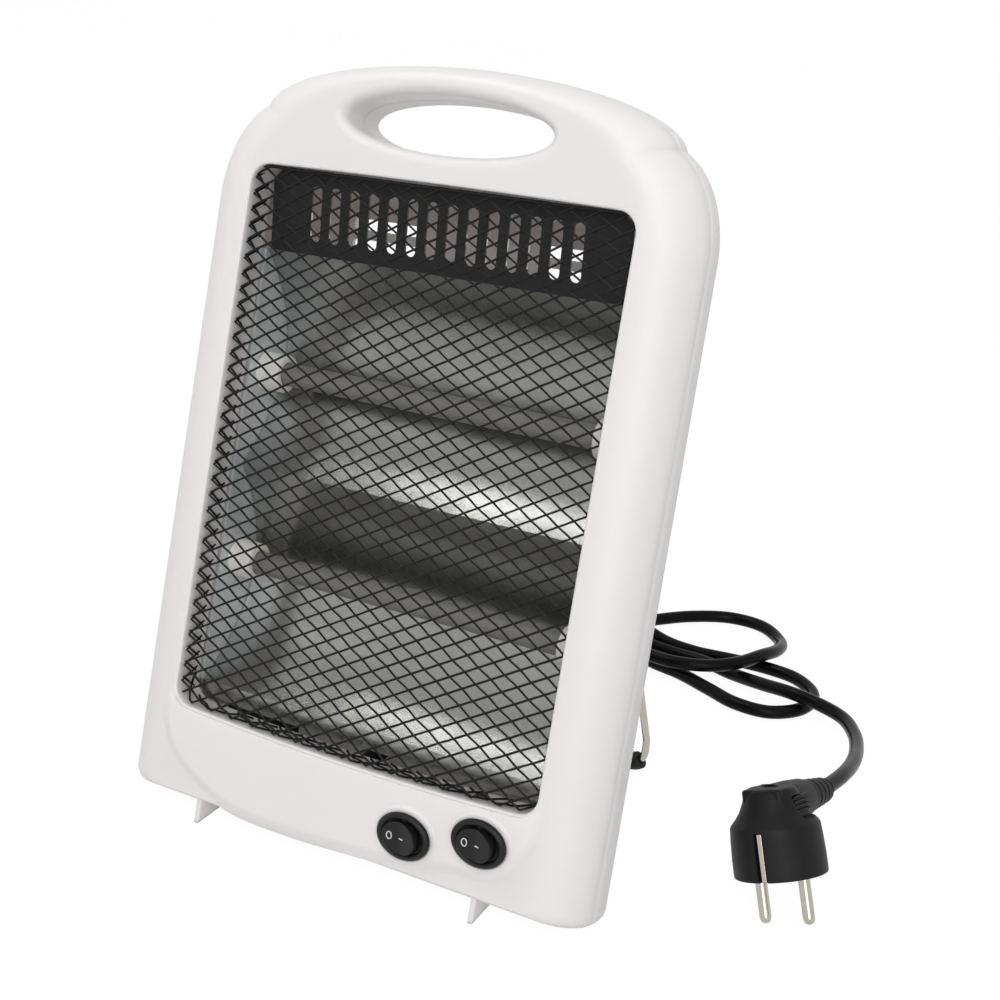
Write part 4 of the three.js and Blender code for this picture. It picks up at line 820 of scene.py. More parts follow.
def at_switch(made, name):
    x, z = SWITCHES[name]
    oval = Matrix.Diagonal((SWITCH_WIDE, 1, SWITCH_TALL, 1))
    made.data.transform(
        Matrix.Translation((x, -PAD_RISE, z)) @ Matrix.Rotation(SWITCH_TILT, 4, "X") @ oval
    )
    return made


def fin(side):
    near, far, under = 1, 24, BOTTOM - GAP
    outline = [
        (near, FIN_FOOT), (far, FIN_FOOT + math.tan(LEAN) * (far - near)), (far, under),
        (PARTING - GAP, under), (PARTING - GAP, BOTTOM + 2.3), (near, BOTTOM + 3.7),
    ]
    return prism("fin", outline, side * FIN_X - 1.05, side * FIN_X + 1.05)


class HEATER_OT_front_housing(bpy.types.Operator):
    """Builds the front of the housing: window, handle, switch panel and fins."""

    bl_idname = "heater.front_housing"
    bl_label = "Front housing"

    def execute(self, context):
        size = sizes("housing")
        wall = mm(size.wall)
        end = PARTING - GAP / 2
        shell = front_skin("front_shell", 0, end)
        inside = slab("inside", window_outline(2), 0, end)
        collar = loft("collar", [handle_ring(0, wall), handle_ring(end, wall)])
        common(inside, front_skin("limit", 0, end))
        common(collar, front_skin("limit", 0, end))
        join(shell, fin(-1), fin(1))
        cut(shell, front_skin("hollow", wall, PARTING + 3))
        join(shell, inside, collar, raised_panel())
        pad = mm(size.pad_radius)
        for name in SWITCHES:
            seat = turned("seat", [
                (0, pad - 1.2), (0.25, pad - 0.5), (0.8, pad), (2.0, pad + 0.5), (3.2, pad + 1.4),
                (4.6, pad + 2.6),
            ], sides=96)
            join(shell, at_switch(seat, name))
        cut(shell, window_cutter(mm(size.window_edge)), handle_cutter(back=False))
        cut(shell, block("parting", -130, 130, end, 40, BOTTOM - GAP / 2, TOP + 5))
        bezel = mm(sizes("switches").bezel_radius)
        for name in SWITCHES:
            for near, far, radius in ((-4, 19, BARREL_RADIUS), (-6, 0, bezel)):
                cut(shell, at_switch(rod("switch_room", near, far, radius + GAP), name))
        piece(shell, "white_plastic", replaces="front_housing", sharp=26)
        return {"FINISHED"}


class HEATER_OT_rear_housing(bpy.types.Operator):
    """Builds the back of the housing: hump, vent slots, cord entry and screw wells."""

    bl_idname = "heater.rear_housing"
    bl_label = "Rear housing"

    def execute(self, context):
        size = sizes("housing")
        wall = mm(size.wall)
        start = PARTING + GAP / 2
        shell = join(back_skin("rear_shell", 0, start), hump_skin("hump", 0))
        limit = join(back_skin("limit", 0, start), hump_skin("hump", 0))
        cut(shell, join(back_skin("hollow", wall, start - 2), hump_skin("hump_room", wall)))
        posts = loft("posts", [handle_ring(start, wall), handle_ring(BACK, wall)])
        for x, z in HOUSING_SCREWS.values():
            join(posts, rod("post", start, HUMP_BACK, 5, (x, 0, z), sides=32))
        join(shell, common(posts, limit))
        half, height, pitch = mm(size.vent_width) / 2, mm(size.vent_height), mm(size.vent_pitch)
        for top in VENT_TOPS:
            for row in range(VENT_ROWS):
                for x in (-VENT_X, VENT_X):
                    z = top - row * pitch
                    ring = [(x + a, b) for a, b in rounded_box(half, z - height / 2, z + height / 2, 1.2, 3)]
                    cut(shell, slab("vent", ring, HUMP_BACK - 5, HUMP_BACK + 3))
        for x, z in HOUSING_SCREWS.values():
            cut(shell, rod("screw_hole", 0, HUMP_BACK, SCREW_HOLE, (x, 0, z), sides=24))
            cut(shell, turned("screw_well", [(WELL_FLOOR, 3.4), (HUMP_BACK, 3.6)], (x, 0, z), sides=32))
        cut(shell, handle_cutter(back=True))
        cut(shell, rod("entry", 46, 55, 5.5, CORD_ENTRY, sides=40))
        piece(shell, "white_plastic", replaces="rear_housing", sharp=26)
        return {"FINISHED"}


# Guard

class GuardEdge:
    """The guard's folded edge: a line round the window that starts and ends at its top corners."""

    def __init__(self, inset):
        ring = window_outline(-inset, 10)
        half = WINDOW_HALF_WIDTH - inset
        self.high = WINDOW_HEIGHT - inset + WINDOW_CROWN
        sides = [i for i, (x, z) in enumerate(ring) if abs(x) > half - 0.01 and z > WINDOW_HEIGHT / 2]
        right, left = sides[0], sides[-1]
        turn = ring[:right][::-1] + ring[left:][::-1]
        ends = [(half, self.high), (half, WINDOW_HEIGHT - WINDOW_CORNER)]
        self.path = [Vector(point) for point in ends + turn + [(-half, self.high)]]
        self.runs = [0.0]
        for a, b in zip(self.path, self.path[1:]):
            self.runs.append(self.runs[-1] + (b - a).length)

    def crossing(self, point, direction):
        """Where a straight wire meets the edge: the run along the wire and the edge, and the edge's way."""
        found = []
        for i, (a, b) in enumerate(zip(self.path, self.path[1:])):
            side = b - a
            bottom = direction.x * side.y - direction.y * side.x
            if abs(bottom) < 1e-9:
                continue
            offset = a - point
            along = (offset.x * side.y - offset.y * side.x) / bottom
            share = (offset.x * direction.y - offset.y * direction.x) / bottom
            if 0 <= share < 1:
                found.append((along, self.runs[i] + share * side.length, side.normalized()))
        return found

    def place(self, run):
        run = max(0, min(self.runs[-1] - 1e-6, run))
        i = next(k for k in range(len(self.runs) - 1) if self.runs[k + 1] > run)
        a, b = self.path[i], self.path[i + 1]
        side = (b - a).normalized()
        return a + side * (run - self.runs[i]), Vector((-side.y, side.x))


def guard_wires():
    """Both families of wires, woven at their crossings, and turned back along the folded edge."""
    size = sizes("guard")
    pitch_x, pitch_z, wire = mm(size.pitch_x), mm(size.pitch_z), mm(size.wire)
    depth = mm(size.depth)
    edge = GuardEdge(GAP + wire / 2 + 0.35)
    front = GUARD_FRONT + wire
    weave = wire * 0.42
    paths = []
    run = math.hypot(pitch_x, pitch_z)
    for family in (1, -1):
        direction = Vector((pitch_x, family * pitch_z)) / run
        reach = int((WINDOW_HALF_WIDTH / pitch_x) + (WINDOW_HEIGHT / pitch_z)) + 3
        for k in range(-reach, reach + 30):
            base = Vector((0, k * pitch_z))
            meets = edge.crossing(base, direction)
            if len(meets) == 1:
                meets.append(((edge.high - base.y) / direction.y, None, None))
            meets.sort(key=lambda meet: meet[0])
            if len(meets) != 2 or meets[1][0] - meets[0][0] < 1:
                continue

            def lift(distance):
                return family * weave * math.cos(math.pi * distance * direction.x / (pitch_x / 2))

            def band(meet, sign):
                start, edge_run, side = meet
                if side is None:
                    return []
                outward = Vector((-side.y, side.x))
                heading = direction * sign
                across, down = abs(heading.dot(outward)), heading.dot(side)
                points = []
                travel = run / 4
                while travel * across < depth:
                    centre, inward = edge.place(edge_run + down * travel)
                    spot = centre + inward * lift(start + sign * travel)
                    points.append((spot.x, front + travel * across, spot.y))
                    travel += run / 4
                return points

            first, last = meets[0][0], meets[1][0]
            path = band(meets[0], -1)[::-1]
            steps = max(1, round((last - first) / (run / 4)))
            for i in range(steps + 1):
                distance = first + (last - first) * i / steps
                spot = base + direction * distance
                path.append((spot.x, front - lift(distance), spot.y))
            paths.append(path + band(meets[1], 1))
    return paths, edge


class HEATER_OT_guard(bpy.types.Operator):
    """Builds the wire guard over the window."""

    bl_idname = "heater.guard"
    bl_label = "Wire guard"

    def execute(self, context):
        paths, edge = guard_wires()
        wire = mm(sizes("guard").wire)
        net = tubes("wire_guard", paths, wire / 2, 6)
        top = [(x, GUARD_FRONT + wire, edge.high - 0.4) for x in (edge.path[0].x, edge.path[-1].x)]
        rim = tubes("guard_rim", [top], wire * 0.7, 8)
        piece(net, "black_net", replaces="guard_mesh", sharp=60)
        piece(rim, "black_net", sharp=60)
        return {"FINISHED"}


# Black plate, reflector and heating elements

class HEATER_OT_vent_plate(bpy.types.Operator):
    """Builds the black slotted plate above the reflector."""

    bl_idname = "heater.vent_plate"
    bl_label = "Slotted plate"

    def execute(self, context):
        size = sizes("elements")
        half, (foot, low), (head, high) = SLOTTED_HALF_WIDTH, SLOTTED_LOW, SLOTTED_HIGH
        run, rise = foot - head, high - low
        tilt = math.atan2(run, rise)
        reach = math.hypot(run, rise)
        outline = [
            (-half, 0), (half, 0), (half, reach - 4), (half - 4, reach), (4 - half, reach),
            (-half, reach - 4),
        ]
        plate = slab("slotted_plate", outline, 0, 1)
        middle = (SLOT_MIDDLE - low) / math.cos(tilt)
        width, tall = mm(size.slot_width), mm(size.slot_height)
        for i in range(size.slots):
            x = (i - (size.slots - 1) / 2) * mm(size.slot_pitch)
            ring = rounded_box(width / 2, middle - tall / 2, middle + tall / 2, width / 2 - 0.01, 8)
            cut(plate, slab("slot", [(x + a, b) for a, b in ring], -2, 3))
        soften(plate, 0.22, 2, 50)
        plate.data.transform(Matrix.Translation((0, foot, low)) @ Matrix.Rotation(tilt, 4, "X"))
        join(plate, block("ledge", -half, half, foot, foot + 8, low - 0.28, low + 1))
        piece(plate, "black_plate", replaces="vent_plate")
        # The slots' punched edges are bright, apart from their lower ends
        plate.data.materials.append(FINISHES["nickel"])
        span = size.slots * size.slot_pitch / 2
        for face in plate.data.polygons:
            if abs(face.normal.y) < 0.4 and abs(face.center.x) < span and face.center.z > SLOT_SHINE_Z:
                face.material_index = 1
        return {"FINISHED"}


def trough_depth(z):
    low = z < RIDGE_Z
    edge = TROUGH_LOW if low else TROUGH_HIGH
    middle = (edge + RIDGE_Z) / 2
    share = (z - middle) / abs(RIDGE_Z - middle)
    ridge_side = (low and z > middle) or (not low and z < middle)
    rim = RIDGE_DEPTH if ridge_side else TROUGH_LIP
    return TROUGH_DEPTH - (TROUGH_DEPTH - rim) * share * share


class HEATER_OT_reflector(bpy.types.Operator):
    """Builds the two trough reflector and its end plates."""

    bl_idname = "heater.reflector"
    bl_label = "Reflector"

    def execute(self, context):
        sheet = mm(sizes("elements").sheet)
        front = [(TROUGH_LIP, -GAP)]
        for start, end in ((TROUGH_LOW, RIDGE_Z), (RIDGE_Z, TROUGH_HIGH)):
            for i in range(32):
                z = start + i / 32 * (end - start)
                front.append((RIDGE_DEPTH if z == RIDGE_Z else trough_depth(z), z))
        front.append((TROUGH_LIP, TROUGH_HIGH))
        outline = front + [(depth + sheet, z) for depth, z in reversed(front)]
        across = [(2 * k / 24 - 1) * (END_PLATE_X - GAP) for k in range(25)]
        troughs = prism("trough_reflector", outline, *across)
        piece(troughs, "bright_sheet", replaces="reflector", sharp=40)
        for name, side in SIDES:
            inner, height = side * END_PLATE_X, (TROUGH_LOW, TROUGH_HIGH)
            near, far = END_PLATE_FRONT, END_PLATE_BACK
            plate = block("reflector_end_" + name, inner, inner + side * sheet, near, far, *height)
            join(plate, block("flange", inner, inner + side * 9.4, near, near + sheet, *height))
            for z in TUBES.values():
                cut(plate, rod("lead_hole", -100, 100, 1.7, (0, TUBE_DEPTH, z), "X", 24))
            for z in (FLANGE_SCREW_LOW, FLANGE_SCREW_HIGH):
                cut(plate, rod("screw_hole", 10, 30, SCREW_HOLE, (side * FLANGE_SCREW_X, 0, z), sides=24))
            soften(plate, 0.36, 4)
            piece(plate, "end_sheet", replaces="end_plate_" + name)
        return {"FINISHED"}


class HEATER_OT_elements(bpy.types.Operator):
    """Builds the quartz tubes with their heating wires and ceramic caps, and gives the terminals their
    finish.
    """

    bl_idname = "heater.elements"
    bl_label = "Heating elements"

    def execute(self, context):
        size = sizes("elements")
        radius, bore, cap = mm(size.tube_radius), mm(size.tube_bore), mm(size.cap_radius)
        inner = END_PLATE_X - GAP - CAP_LENGTH
        reach = inner + CAP_SEAT - GAP
        for level, z in TUBES.items():
            centre = (0, TUBE_DEPTH, z)
            shell = turned("quartz_sleeve_" + level, [
                (-reach, bore + 0.3), (-reach, radius - 0.3), (0.3 - reach, radius), (reach - 0.3, radius),
                (reach, radius - 0.3), (reach, bore + 0.3), (reach - 0.3, bore), (0.3 - reach, bore),
            ], centre, "X", 48, hollow=True)
            piece(shell, "frosted_quartz", replaces="quartz_tube_" + level)
            wound = reach - 8
            steps = size.coil_curls * 10
            wire = [(-inner - WIRE_END, TUBE_DEPTH, z)]
            for i in range(steps + 1):
                share = i / steps
                grown = 2.3 * min(1, 12 * share, 12 * (1 - share))
                angle = TURN * size.coil_curls * share
                wire.append((
                    -wound + 2 * wound * share, TUBE_DEPTH + grown * math.cos(angle),
                    z + grown * math.sin(angle),
                ))
            wire.append((inner + WIRE_END, TUBE_DEPTH, z))
            coil = tubes("heating_wire_" + level, [wire], 0.35, 6)
            piece(coil, "resistance_wire", replaces="heating_coil_" + level)
            for name, side in SIDES:
                stop, seat, room = CAP_LENGTH, CAP_SEAT, radius + 0.45
                profile = [(side * (inner + along), around) for along, around in (
                    (0, room), (0, cap - 1.2), (0.35, cap - 0.35), (1.2, cap), (stop - 3.6, cap),
                    (stop - 3.2, cap - 0.7), (stop - 2.6, cap - 0.7), (stop - 2.2, cap),
                    (stop - 0.6, cap), (stop, cap - 0.6), (stop, 1.7), (seat, 1.7), (seat, room),
                )]
                made = turned("end_cap_%s_%s" % (level, name), profile, centre, "X", 48, hollow=True)
                piece(made, "ceramic", replaces="ceramic_cap_%s_%s" % (level, name))
                dress("terminal_%s_%s" % (level, name), "nickel")
        return {"FINISHED"}


# Switches

class HEATER_OT_switches(bpy.types.Operator):
    """Builds the two round rocker switches with their printed marks."""

    bl_idname = "heater.switches"
    bl_label = "Switches"

    def execute(self, context):
        size = sizes("switches")
        bezel, pocket, rocker = mm(size.bezel_radius), mm(size.pocket_radius), mm(size.rocker_radius)
        for name in SWITCHES:
            body = turned("switch_" + name, [
                (-GAP, BARREL_RADIUS), (-GAP, bezel - 0.2), (-0.5, bezel), (-1.3, bezel),
                (-1.9, bezel - 0.35), (-2.35, bezel - 1.1), (-2.5, bezel - 1.7), (-2.3, pocket + 0.35),
                (-1.9, pocket), (6.7, pocket - 0.2), (6.7, 0.01), (BARREL_LENGTH - GAP, 0.01),
                (BARREL_LENGTH - GAP, BARREL_RADIUS),
            ], sides=96)
            trunnion = (0, TRUNNION_DEPTH, 0)
            for x in (-4.5, 4.5):
                join(body, block("tab", x - 0.4, x + 0.4, 13, 21.7, -3.15, 3.15))
            cut(body, rod("trunnion_seat", -9.4, 9.4, 1.4, trunnion, "Z", 24))
            piece(at_switch(body, name), "black_plastic", replaces="switch_body_" + name)
            dip = [(7.6, -3.6), (6.8, -3.55), (3.5, -2.95), (1.0, -2.48)]
            top = [(-x, y) for x, y in dip] + [(0, ROCKER_FACE)] + dip[::-1]
            low = arc((0, 0), (6.5, 6.5), 0, math.pi, 16)
            profile = top + [(7.45, -1)] + low + [(-7.45, -1)]
            lever = loft("rocker_cap_" + name, [[(x, y, z) for x, y in profile] for z in (-8, 8)])
            common(lever, rod("round", -9, 9, rocker, sides=96))
            soften(lever, 0.3, 2, 40)
            join(lever, rod("trunnion", -9.1, 9.1, 1.1, axis="Z", sides=24))
            seat = Matrix.Translation(trunnion) @ Matrix.Rotation(-SWITCH_THROW, 4, "Z")
            lever.data.transform(seat)
            rides = name + "_rocker"
            piece(at_switch(lever, name), "black_plastic", rides, replaces="rocker_" + name)
            oval = arc((-4.3, 0), (1.05, 1.75), 0, TURN, 40)[:-1]
            ring = [(x, ROCKER_FACE - 0.153 * abs(x) - 0.13, z) for x, z in oval]
            zero = tubes("off_mark_" + name, [ring + ring[:2]], 0.25, 6)
            dash = tubes("on_mark_" + name, [[(0.1, -2.5, 0), (1.9, -2.72, 0)]], 0.3, 6)
            for mark in (zero, dash):
                mark.data.transform(seat)
                piece(at_switch(mark, name), "mark", rides)
        return {"FINISHED"}


# Stand

def rounded_path(corners, bends, steps=10):
    corners = [Vector(point) for point in corners]
    path = [corners[0]]
    for before, corner, after, bend in zip(corners, corners[1:], corners[2:], bends):
        into, out = (corner - before).normalized(), (after - corner).normalized()
        reach = bend * math.tan(into.angle(out) / 2)
        start, end = corner - into * reach, corner + out * reach
        for i in range(steps + 1):
            t = i / steps
            path.append(start * (1 - t) ** 2 + corner * 2 * t * (1 - t) + end * t * t)
    path.append(corners[-1])
    return path


class HEATER_OT_stand(bpy.types.Operator):
    """Builds the folding wire stand with its sleeves, brackets and screws."""

    bl_idname = "heater.stand"
    bl_label = "Stand"

    def execute(self, context):
        size = sizes("stand")
        wire, sleeve = mm(size.wire_radius), mm(size.sleeve_radius)

        def half(side):
            return [
                (side * (STAND_X - 10.5), *HINGE), (side * STAND_X, *HINGE), (side * FOOT_X, *KNEE),
                (side * FOOT_X, *FOOT),
            ]

        rod = rounded_path(half(-1) + half(1)[::-1], [4, FOOT_BEND, FOOT_BEND, FOOT_BEND, FOOT_BEND, 4])
        piece(tubes("stand_rod", [rod], wire, 20), "nickel", "stand", replaces="stand_wire", sharp=60)
        for name, side in SIDES:
            foot, knee = Vector((side * FOOT_X, *FOOT)), Vector((side * FOOT_X, *KNEE))
            start = foot + (knee - foot).normalized() * (FOOT_BEND + GAP)
            path = rounded_path([start, foot, (side * (FOOT_X - 24), *FOOT)], [FOOT_BEND], 16)[9:]
            outer, skin = tube(path, sleeve, 28)
            inner, _ = tube(path, wire + 0.1, 28)
            count = len(outer)
            faces = [face for face in skin if len(face) == 4]
            faces += [tuple(reversed([count + i for i in face])) for face in skin if len(face) == 4]
            last = (len(path) - 1) * 28
            for base in (0, last):
                faces += belt(base, count + base, 28)
            made = soften(mesh_object("foot_sleeve_" + name, outer + inner, faces), 0.5, 3, 60)
            piece(made, "black_rubber", "stand", replaces="rubber_sleeve_" + name, sharp=50)
            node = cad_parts["stand_bracket_" + name]
            bracket = add_object("hinge_bracket_" + name, node.data.copy())
            bracket.data.transform(PANEL.inverted())
            soften(bracket, 0.35, 2, 50)
            piece(bracket, "white_plastic", replaces="stand_bracket_" + name)
            make_screw("bracket_screw", name, (side * BRACKET_SCREW_X, 0, HINGE[1]), 54.9, 47.4)
        return {"FINISHED"}


def make_screw(kind, name, place, seat, tip):
    """A pan head screw with a cross recess, its head towards the seat's outside."""
    out = 1 if seat > tip else -1
    dome = ((0, 2.9), (0.9, 3), (1.6, 2.6), (2.1, 1.6), (2.2, 0.6))
    profile = [(tip, 1.0), (tip + out * 1.5, 1.5), (seat, 1.5)]
    profile += [(seat + out * rise, radius) for rise, radius in dome]
    made = turned("%s_head_%s" % (kind, name), profile, place, "Y", 32)
    top, bottom = seat + out * 2.4, seat + out * 0.9
    x, _, z = place
    for wide, tall in ((1.7, 0.4), (0.4, 1.7)):
        cut(made, block("slot", x - wide, x + wide, top, bottom, z - tall, z + tall))
    piece(made, "nickel", replaces="%s_%s" % (kind, name))


class HEATER_OT_screws(bpy.types.Operator):
    """Builds the screws in the housing and in the reflector."""

    bl_idname = "heater.screws"
    bl_label = "Screws"

    def execute(self, context):
        for name, (x, z) in HOUSING_SCREWS.items():
            make_screw("housing_screw", name, (x, 0, z), WELL_FLOOR + GAP, 6)
        for name, (x, z) in REFLECTOR_SCREWS.items():
            make_screw("reflector_screw", name, (x, 0, z), 18.1, 31.2)
        return {"FINISHED"}


class HEATER_OT_inner_parts(bpy.types.Operator):
    """Gives the parts inside the housing their finishes."""

    bl_idname = "heater.inner_parts"
    bl_label = "Inner parts"

    def execute(self, context):
        dress("thermal_cutout", "black_plastic")
        dress("tip_switch_body", "black_plastic")
        dress("tip_pendulum", "nickel")
        dress("terminal_block", "ceramic")
        dress("inner_lead", "cord_jacket")
        return {"FINISHED"}


# Cord and plug

def smooth_line(points, steps):
    """The centripetal curve through the points that the part's source uses too."""
    points = [Vector(point) for point in points]
    whole = [points[0] * 2 - points[1]] + points + [points[-1] * 2 - points[-2]]
    line = []
    for a, b, c, d in zip(whole, whole[1:], whole[2:], whole[3:]):
        first, second, third = ((q - p).length ** 0.5 for p, q in ((a, b), (b, c), (c, d)))
        start = ((b - a) / first - (c - a) / (first + second) + (c - b) / second) * second
        end = ((c - b) / second - (d - b) / (second + third) + (d - c) / third) * second
        for i in range(steps):
            t = i / steps
            line.append(
                b * (2 * t ** 3 - 3 * t * t + 1) + start * (t ** 3 - 2 * t * t + t)
                + c * (3 * t * t - 2 * t ** 3) + end * (t ** 3 - t * t)
            )
    line.append(points[-1])
    return line


def ribs(along, radius, count, pitch, taper, rib):
    """The profile of a ribbed sleeve that grows thinner; a rib lists (how far along, how far in)."""
    return [
        (along + pitch * i + ahead, radius - taper * i - drawn)
        for i in range(count) for ahead, drawn in rib
    ]


class HEATER_OT_cord(bpy.types.Operator):
    """Builds the supply cord, its strain relief and the plug."""

    bl_idname = "heater.cord"
    bl_label = "Cord and plug"

    def execute(self, context):
        size = sizes("cord")
        radius = mm(size.radius)
        relief = self.entry_relief(radius)
        line = smooth_line(CORD_ROUTE, CORD_STEPS)
        curve = bpy.data.curves.new("supply_cord", "CURVE")
        curve.dimensions = "3D"
        curve.bevel_depth = size.radius
        curve.bevel_resolution = 6
        curve.use_fill_caps = True
        spline = curve.splines.new("POLY")
        spline.points.add(len(line) - 1)
        for point, spot in zip(spline.points, line):
            point.co = (*(spot * MM), 1)
        spline.use_smooth = True
        cord = add_object("supply_cord", curve)
        curve.materials.append(FINISHES["cord_jacket"])
        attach(cord, "heater")
        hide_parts("power_cord")
        plug = self.plug(size)
        return {"FINISHED"}

    def entry_relief(self, radius):
        profile = [
            (45.9, 7.2), (46.2, 7.5), (48.9, 7.5), (49.4, 7.2), (49.4, 5.2), (52.3, 5.2), (52.3, 7.3),
            (52.6, 7.5), (54.4, 7.5), (55.0, 7.0), (55.2, 6.2),
        ]
        rib = [(0, 0), (1.9, 0.1), (2.1, 0.9), (3.1, 0.95), (3.3, 0.25)]
        profile += ribs(56.4, 6.2, 7, 3.5, 1.7 / 7, rib)
        profile += [(80.9, 4.6), (82.0, 4.4), (82.0, radius + 0.05)]
        made = turned("entry_relief", profile, CORD_ENTRY, "Y", 48)
        return piece(made, "black_plastic", replaces="cord_strain_relief", sharp=40)

    def plug(self, size):
        wide, pin = mm(size.plug_radius), mm(size.pin_radius)
        body = turned("plug_shell", [
            (0, wide - 0.8), (0.3, wide - 0.25), (0.9, wide), (7, wide), (14, wide - 0.3),
            (19.4, wide - 0.7), (20.4, 17.3), (22.4, 15.5), (25, 13.6), (29, 11.8), (32.4, 10.6),
            (33.6, 9.8), (34.2, 8.8),
        ], (0, 0, RIM), "Z", 96)
        taper = [(0, 9.2), (14, 8.7), (24, 7.9), (25.6, 7.5), (26, 6.9)]
        arm = turned("arm", taper, (0, 0, CORD_ARM), "Y", 64)
        crown = soften(block("crown", -8.5, 8.5, -9, 9, RIM + 19, RIM + 34.3), 1.2, 3)
        join(body, crown, arm)
        for side in (-1, 1):
            cut(body, soften(block("grip", side * 9.2, side * 20, -4, 15, RIM + 21.5, RIM + 31), 1.5, 3))
            for k in range(4):
                z = RIM + 23.6 + k * 1.9
                join(body, soften(block("rib", side * 8.5, side * 10.4, -1, 13, z, z + 0.9), 0.25, 1))
            face, far = side * (wide - 2.2), side * (wide + 3)
            middle = -side * EARTH_SHIFT
            cut(body, block("channel", middle - 1.9, middle + 1.9, face, far, RIM - 2, RIM + 18.9))
            cut(body, rod("pin_hole", RIM - 2, RIM + 8.3, pin + GAP, (side * PIN_X, 0, 0), "Z", 32))
        body = piece(body, "plug_plastic", replaces="plug_body", place=PLUG, sharp=35)
        made = [body]
        for name, side in SIDES:
            pin_made = turned("round_pin_" + name, [
                (0, 0.5), (0.15, 1.1), (0.7, 1.8), (1.7, 2.25), (2.8, pin), (RIM + 8, pin),
            ], (side * PIN_X, 0, 0), "Z", 40)
            made.append(piece(pin_made, "nickel", replaces="plug_pin_" + name, place=PLUG))
        for name, side in (("back", 1), ("front", -1)):
            inner, outer = side * (wide - 1.9), side * (wide - 1)
            middle = -side * EARTH_SHIFT
            strip = block(
                "earth_strip_" + name, middle - 1, middle + 1.2, inner, outer, RIM + 0.3, RIM + 18.6,
            )
            made.append(piece(
                soften(strip, 0.35, 3), "nickel", replaces="earth_contact_" + name, place=PLUG,
            ))
        rib = [(0, 0), (2.6, 0.1), (3.0, 1.2), (4.2, 1.3), (4.5, 0.5)]
        profile = [(26.3, 6.2), (26.6, 6.8), *ribs(27.6, 6.9, 4, 4.6, 0.45, rib), (46.0, 4.7), (46.3, 4.3)]
        relief = turned("plug_relief", profile, (0, 0, CORD_ARM), "Y", 48)
        made.append(piece(
            relief, "plug_plastic", replaces="plug_strain_relief", place=PLUG, sharp=40,
        ))
        return made


# Stage

class HEATER_OT_camera(bpy.types.Operator):
    """Sets the camera where the photograph was taken from."""

    bl_idname = "heater.camera"
    bl_label = "Camera"

    def execute(self, context):
        data = bpy.data.cameras.new("camera")
        data.sensor_width = 36
        data.lens = 54.22
        data.shift_y = -0.06
        camera = add_object("camera", data)
        back = Vector((0.4269, -0.8500, 0.3086))
        right = Vector((0.8847, 0.4633, 0.0521))
        up = Vector((-0.1873, 0.2508, 0.9498))
        turn = Matrix((right, up, back)).transposed().to_4x4()
        camera.matrix_world = Matrix.Translation((0.2939, -0.52092, 0.36237)) @ turn
        context.scene.camera = camera
        return {"FINISHED"}


def lamp(name, place, target, width, height, power):
    data = bpy.data.lights.new(name, "AREA")
    data.shape = "RECTANGLE"
    data.size = width
    data.size_y = height
    data.energy = power
    made = add_object(name, data)
    made.location = place
    made.rotation_euler = (Vector(target) - Vector(place)).to_track_quat("-Z", "Y").to_euler()


def seen_rays(tree):
    """One for the rays of the camera, of mirrors and of glass; nothing for those that light the object."""
    path = add_node(tree, "ShaderNodeLightPath")
    seen = add_node(tree, "ShaderNodeMath", {
        0: path.outputs["Is Camera Ray"], 1: path.outputs["Is Glossy Ray"],
    }, operation="MAXIMUM")
    return add_node(tree, "ShaderNodeMath", {
        0: seen.outputs[0], 1: path.outputs["Is Transmission Ray"],
    }, operation="MAXIMUM").outputs[0]


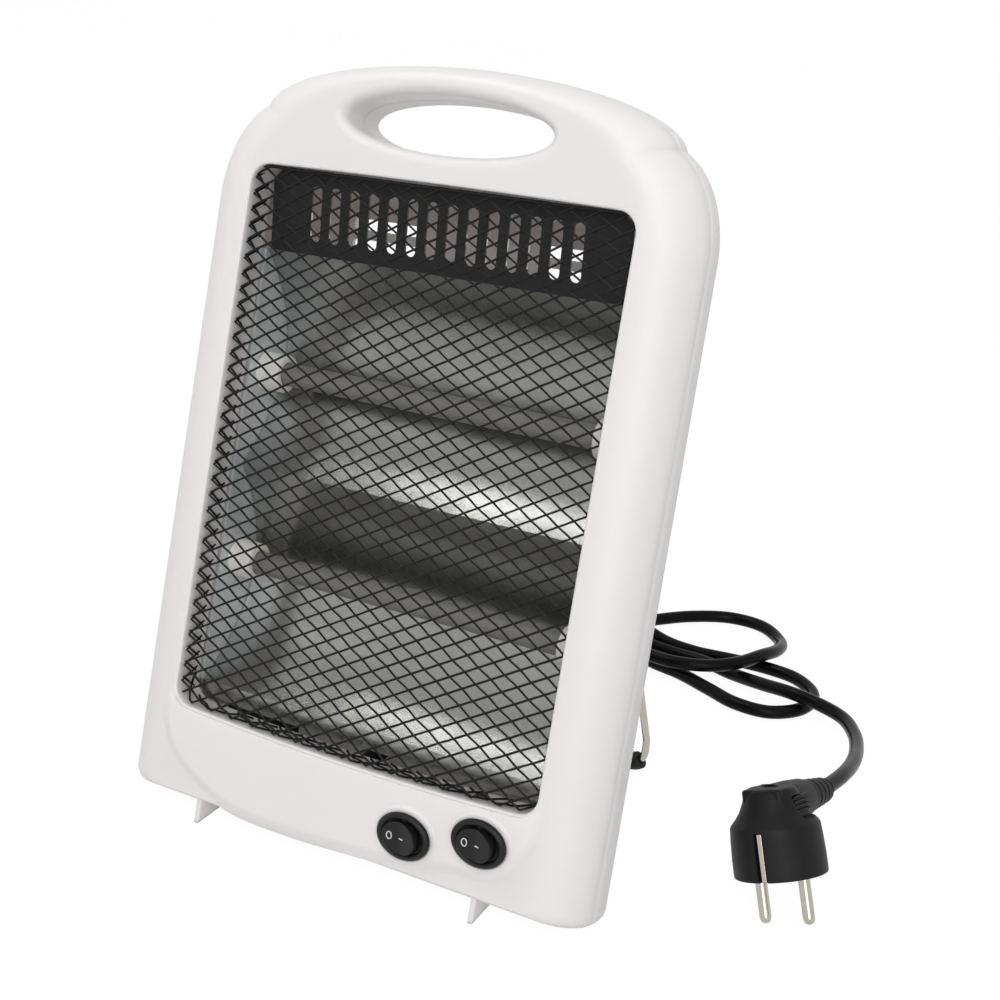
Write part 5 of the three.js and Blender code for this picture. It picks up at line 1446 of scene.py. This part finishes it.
class HEATER_OT_stage(bpy.types.Operator):
    """Makes the floor, the background and the lamps."""

    bl_idname = "heater.stage"
    bl_label = "Stage"

    def execute(self, context):
        fill = sizes("colours").backdrop
        world = bpy.data.worlds.new("white_studio")
        context.scene.world = world
        world.use_nodes = True
        tree = world.node_tree
        tree.nodes.clear()
        strength = add_node(tree, "ShaderNodeMath", {
            0: seen_rays(tree), 1: 1 - SKY_LEVEL, 2: SKY_LEVEL,
        }, operation="MULTIPLY_ADD")
        sky = add_node(tree, "ShaderNodeBackground", {"Color": fill, "Strength": strength.outputs[0]})
        add_node(tree, "ShaderNodeOutputWorld", {"Surface": sky.outputs[0]})
        floor = block("studio_floor", -6000, 6000, -6000, 6000, -2, 0)
        floor.data.transform(ROOM)
        made, tree, shader, _ = surface("white_studio_paper", fill, {
            "Roughness": 0.9, "Specular IOR Level": 0, "Emission Color": fill,
        })
        seen = seen_rays(tree)
        vary(tree, shader, "Base Color", seen, 0.5, 0.12)
        vary(tree, shader, "Emission Strength", seen, 0, 0.93)
        floor.data.materials.append(made)
        lamp("key", (0.5, -1.5, 1.45), (0, 0, 0.12), 1.2, 0.9, 12)
        lamp("fill", (-1.5, -0.9, 0.9), (0, 0, 0.12), 1.0, 1.4, 2)
        lamp("front", (1.0, -1.5, 0.55), (0, 0, 0.14), 1.1, 0.9, 8.5)
        lamp("top", (-0.66, -0.2, 1.78), (0, 0, 0.1), 0.4, 0.45, 4)
        context.scene.view_settings.view_transform = "Standard"
        return {"FINISHED"}


class HEATER_PT_panel(bpy.types.Panel):
    """Lists the heater's pieces and sizes."""

    bl_idname = "HEATER_PT_panel"
    bl_label = "Quartz heater"
    bl_space_type = "VIEW_3D"
    bl_region_type = "UI"
    bl_category = "Heater"

    def draw(self, context):
        for group, (_, title) in GROUPS.items():
            box = self.layout.box()
            box.label(text=title)
            for name in sizes(group).__annotations__:
                box.prop(sizes(group), name)
        for made in OPERATORS:
            self.layout.operator(made.bl_idname)


GROUPS = {
    "housing": (HeaterHousingSizes, "Housing"),
    "guard": (HeaterGuardSizes, "Guard"),
    "elements": (HeaterElementSizes, "Reflector and tubes"),
    "switches": (HeaterSwitchSizes, "Switches"),
    "stand": (HeaterStandSizes, "Stand"),
    "cord": (HeaterCordSizes, "Cord and plug"),
    "colours": (HeaterColours, "Colours"),
}

OPERATORS = [
    HEATER_OT_camera,
    HEATER_OT_cord,
    HEATER_OT_front_housing,
    HEATER_OT_rear_housing,
    HEATER_OT_guard,
    HEATER_OT_vent_plate,
    HEATER_OT_reflector,
    HEATER_OT_elements,
    HEATER_OT_switches,
    HEATER_OT_stand,
    HEATER_OT_screws,
    HEATER_OT_inner_parts,
    HEATER_OT_stage,
]


def register():
    for group, (kind, _) in GROUPS.items():
        bpy.utils.register_class(kind)
        setattr(bpy.types.Scene, "heater_" + group, PointerProperty(type=kind))
    for kind in OPERATORS + [HEATER_PT_panel]:
        bpy.utils.register_class(kind)


def unregister():
    for kind in [HEATER_PT_panel] + OPERATORS[::-1]:
        bpy.utils.unregister_class(kind)
    for group, (kind, _) in reversed(GROUPS.items()):
        delattr(bpy.types.Scene, "heater_" + group)
        bpy.utils.unregister_class(kind)


def main():
    register()
    make_finishes()
    for made in OPERATORS:
        group, name = made.bl_idname.split(".")
        getattr(getattr(bpy.ops, group), name)()


if __name__ == "__main__":
    main()
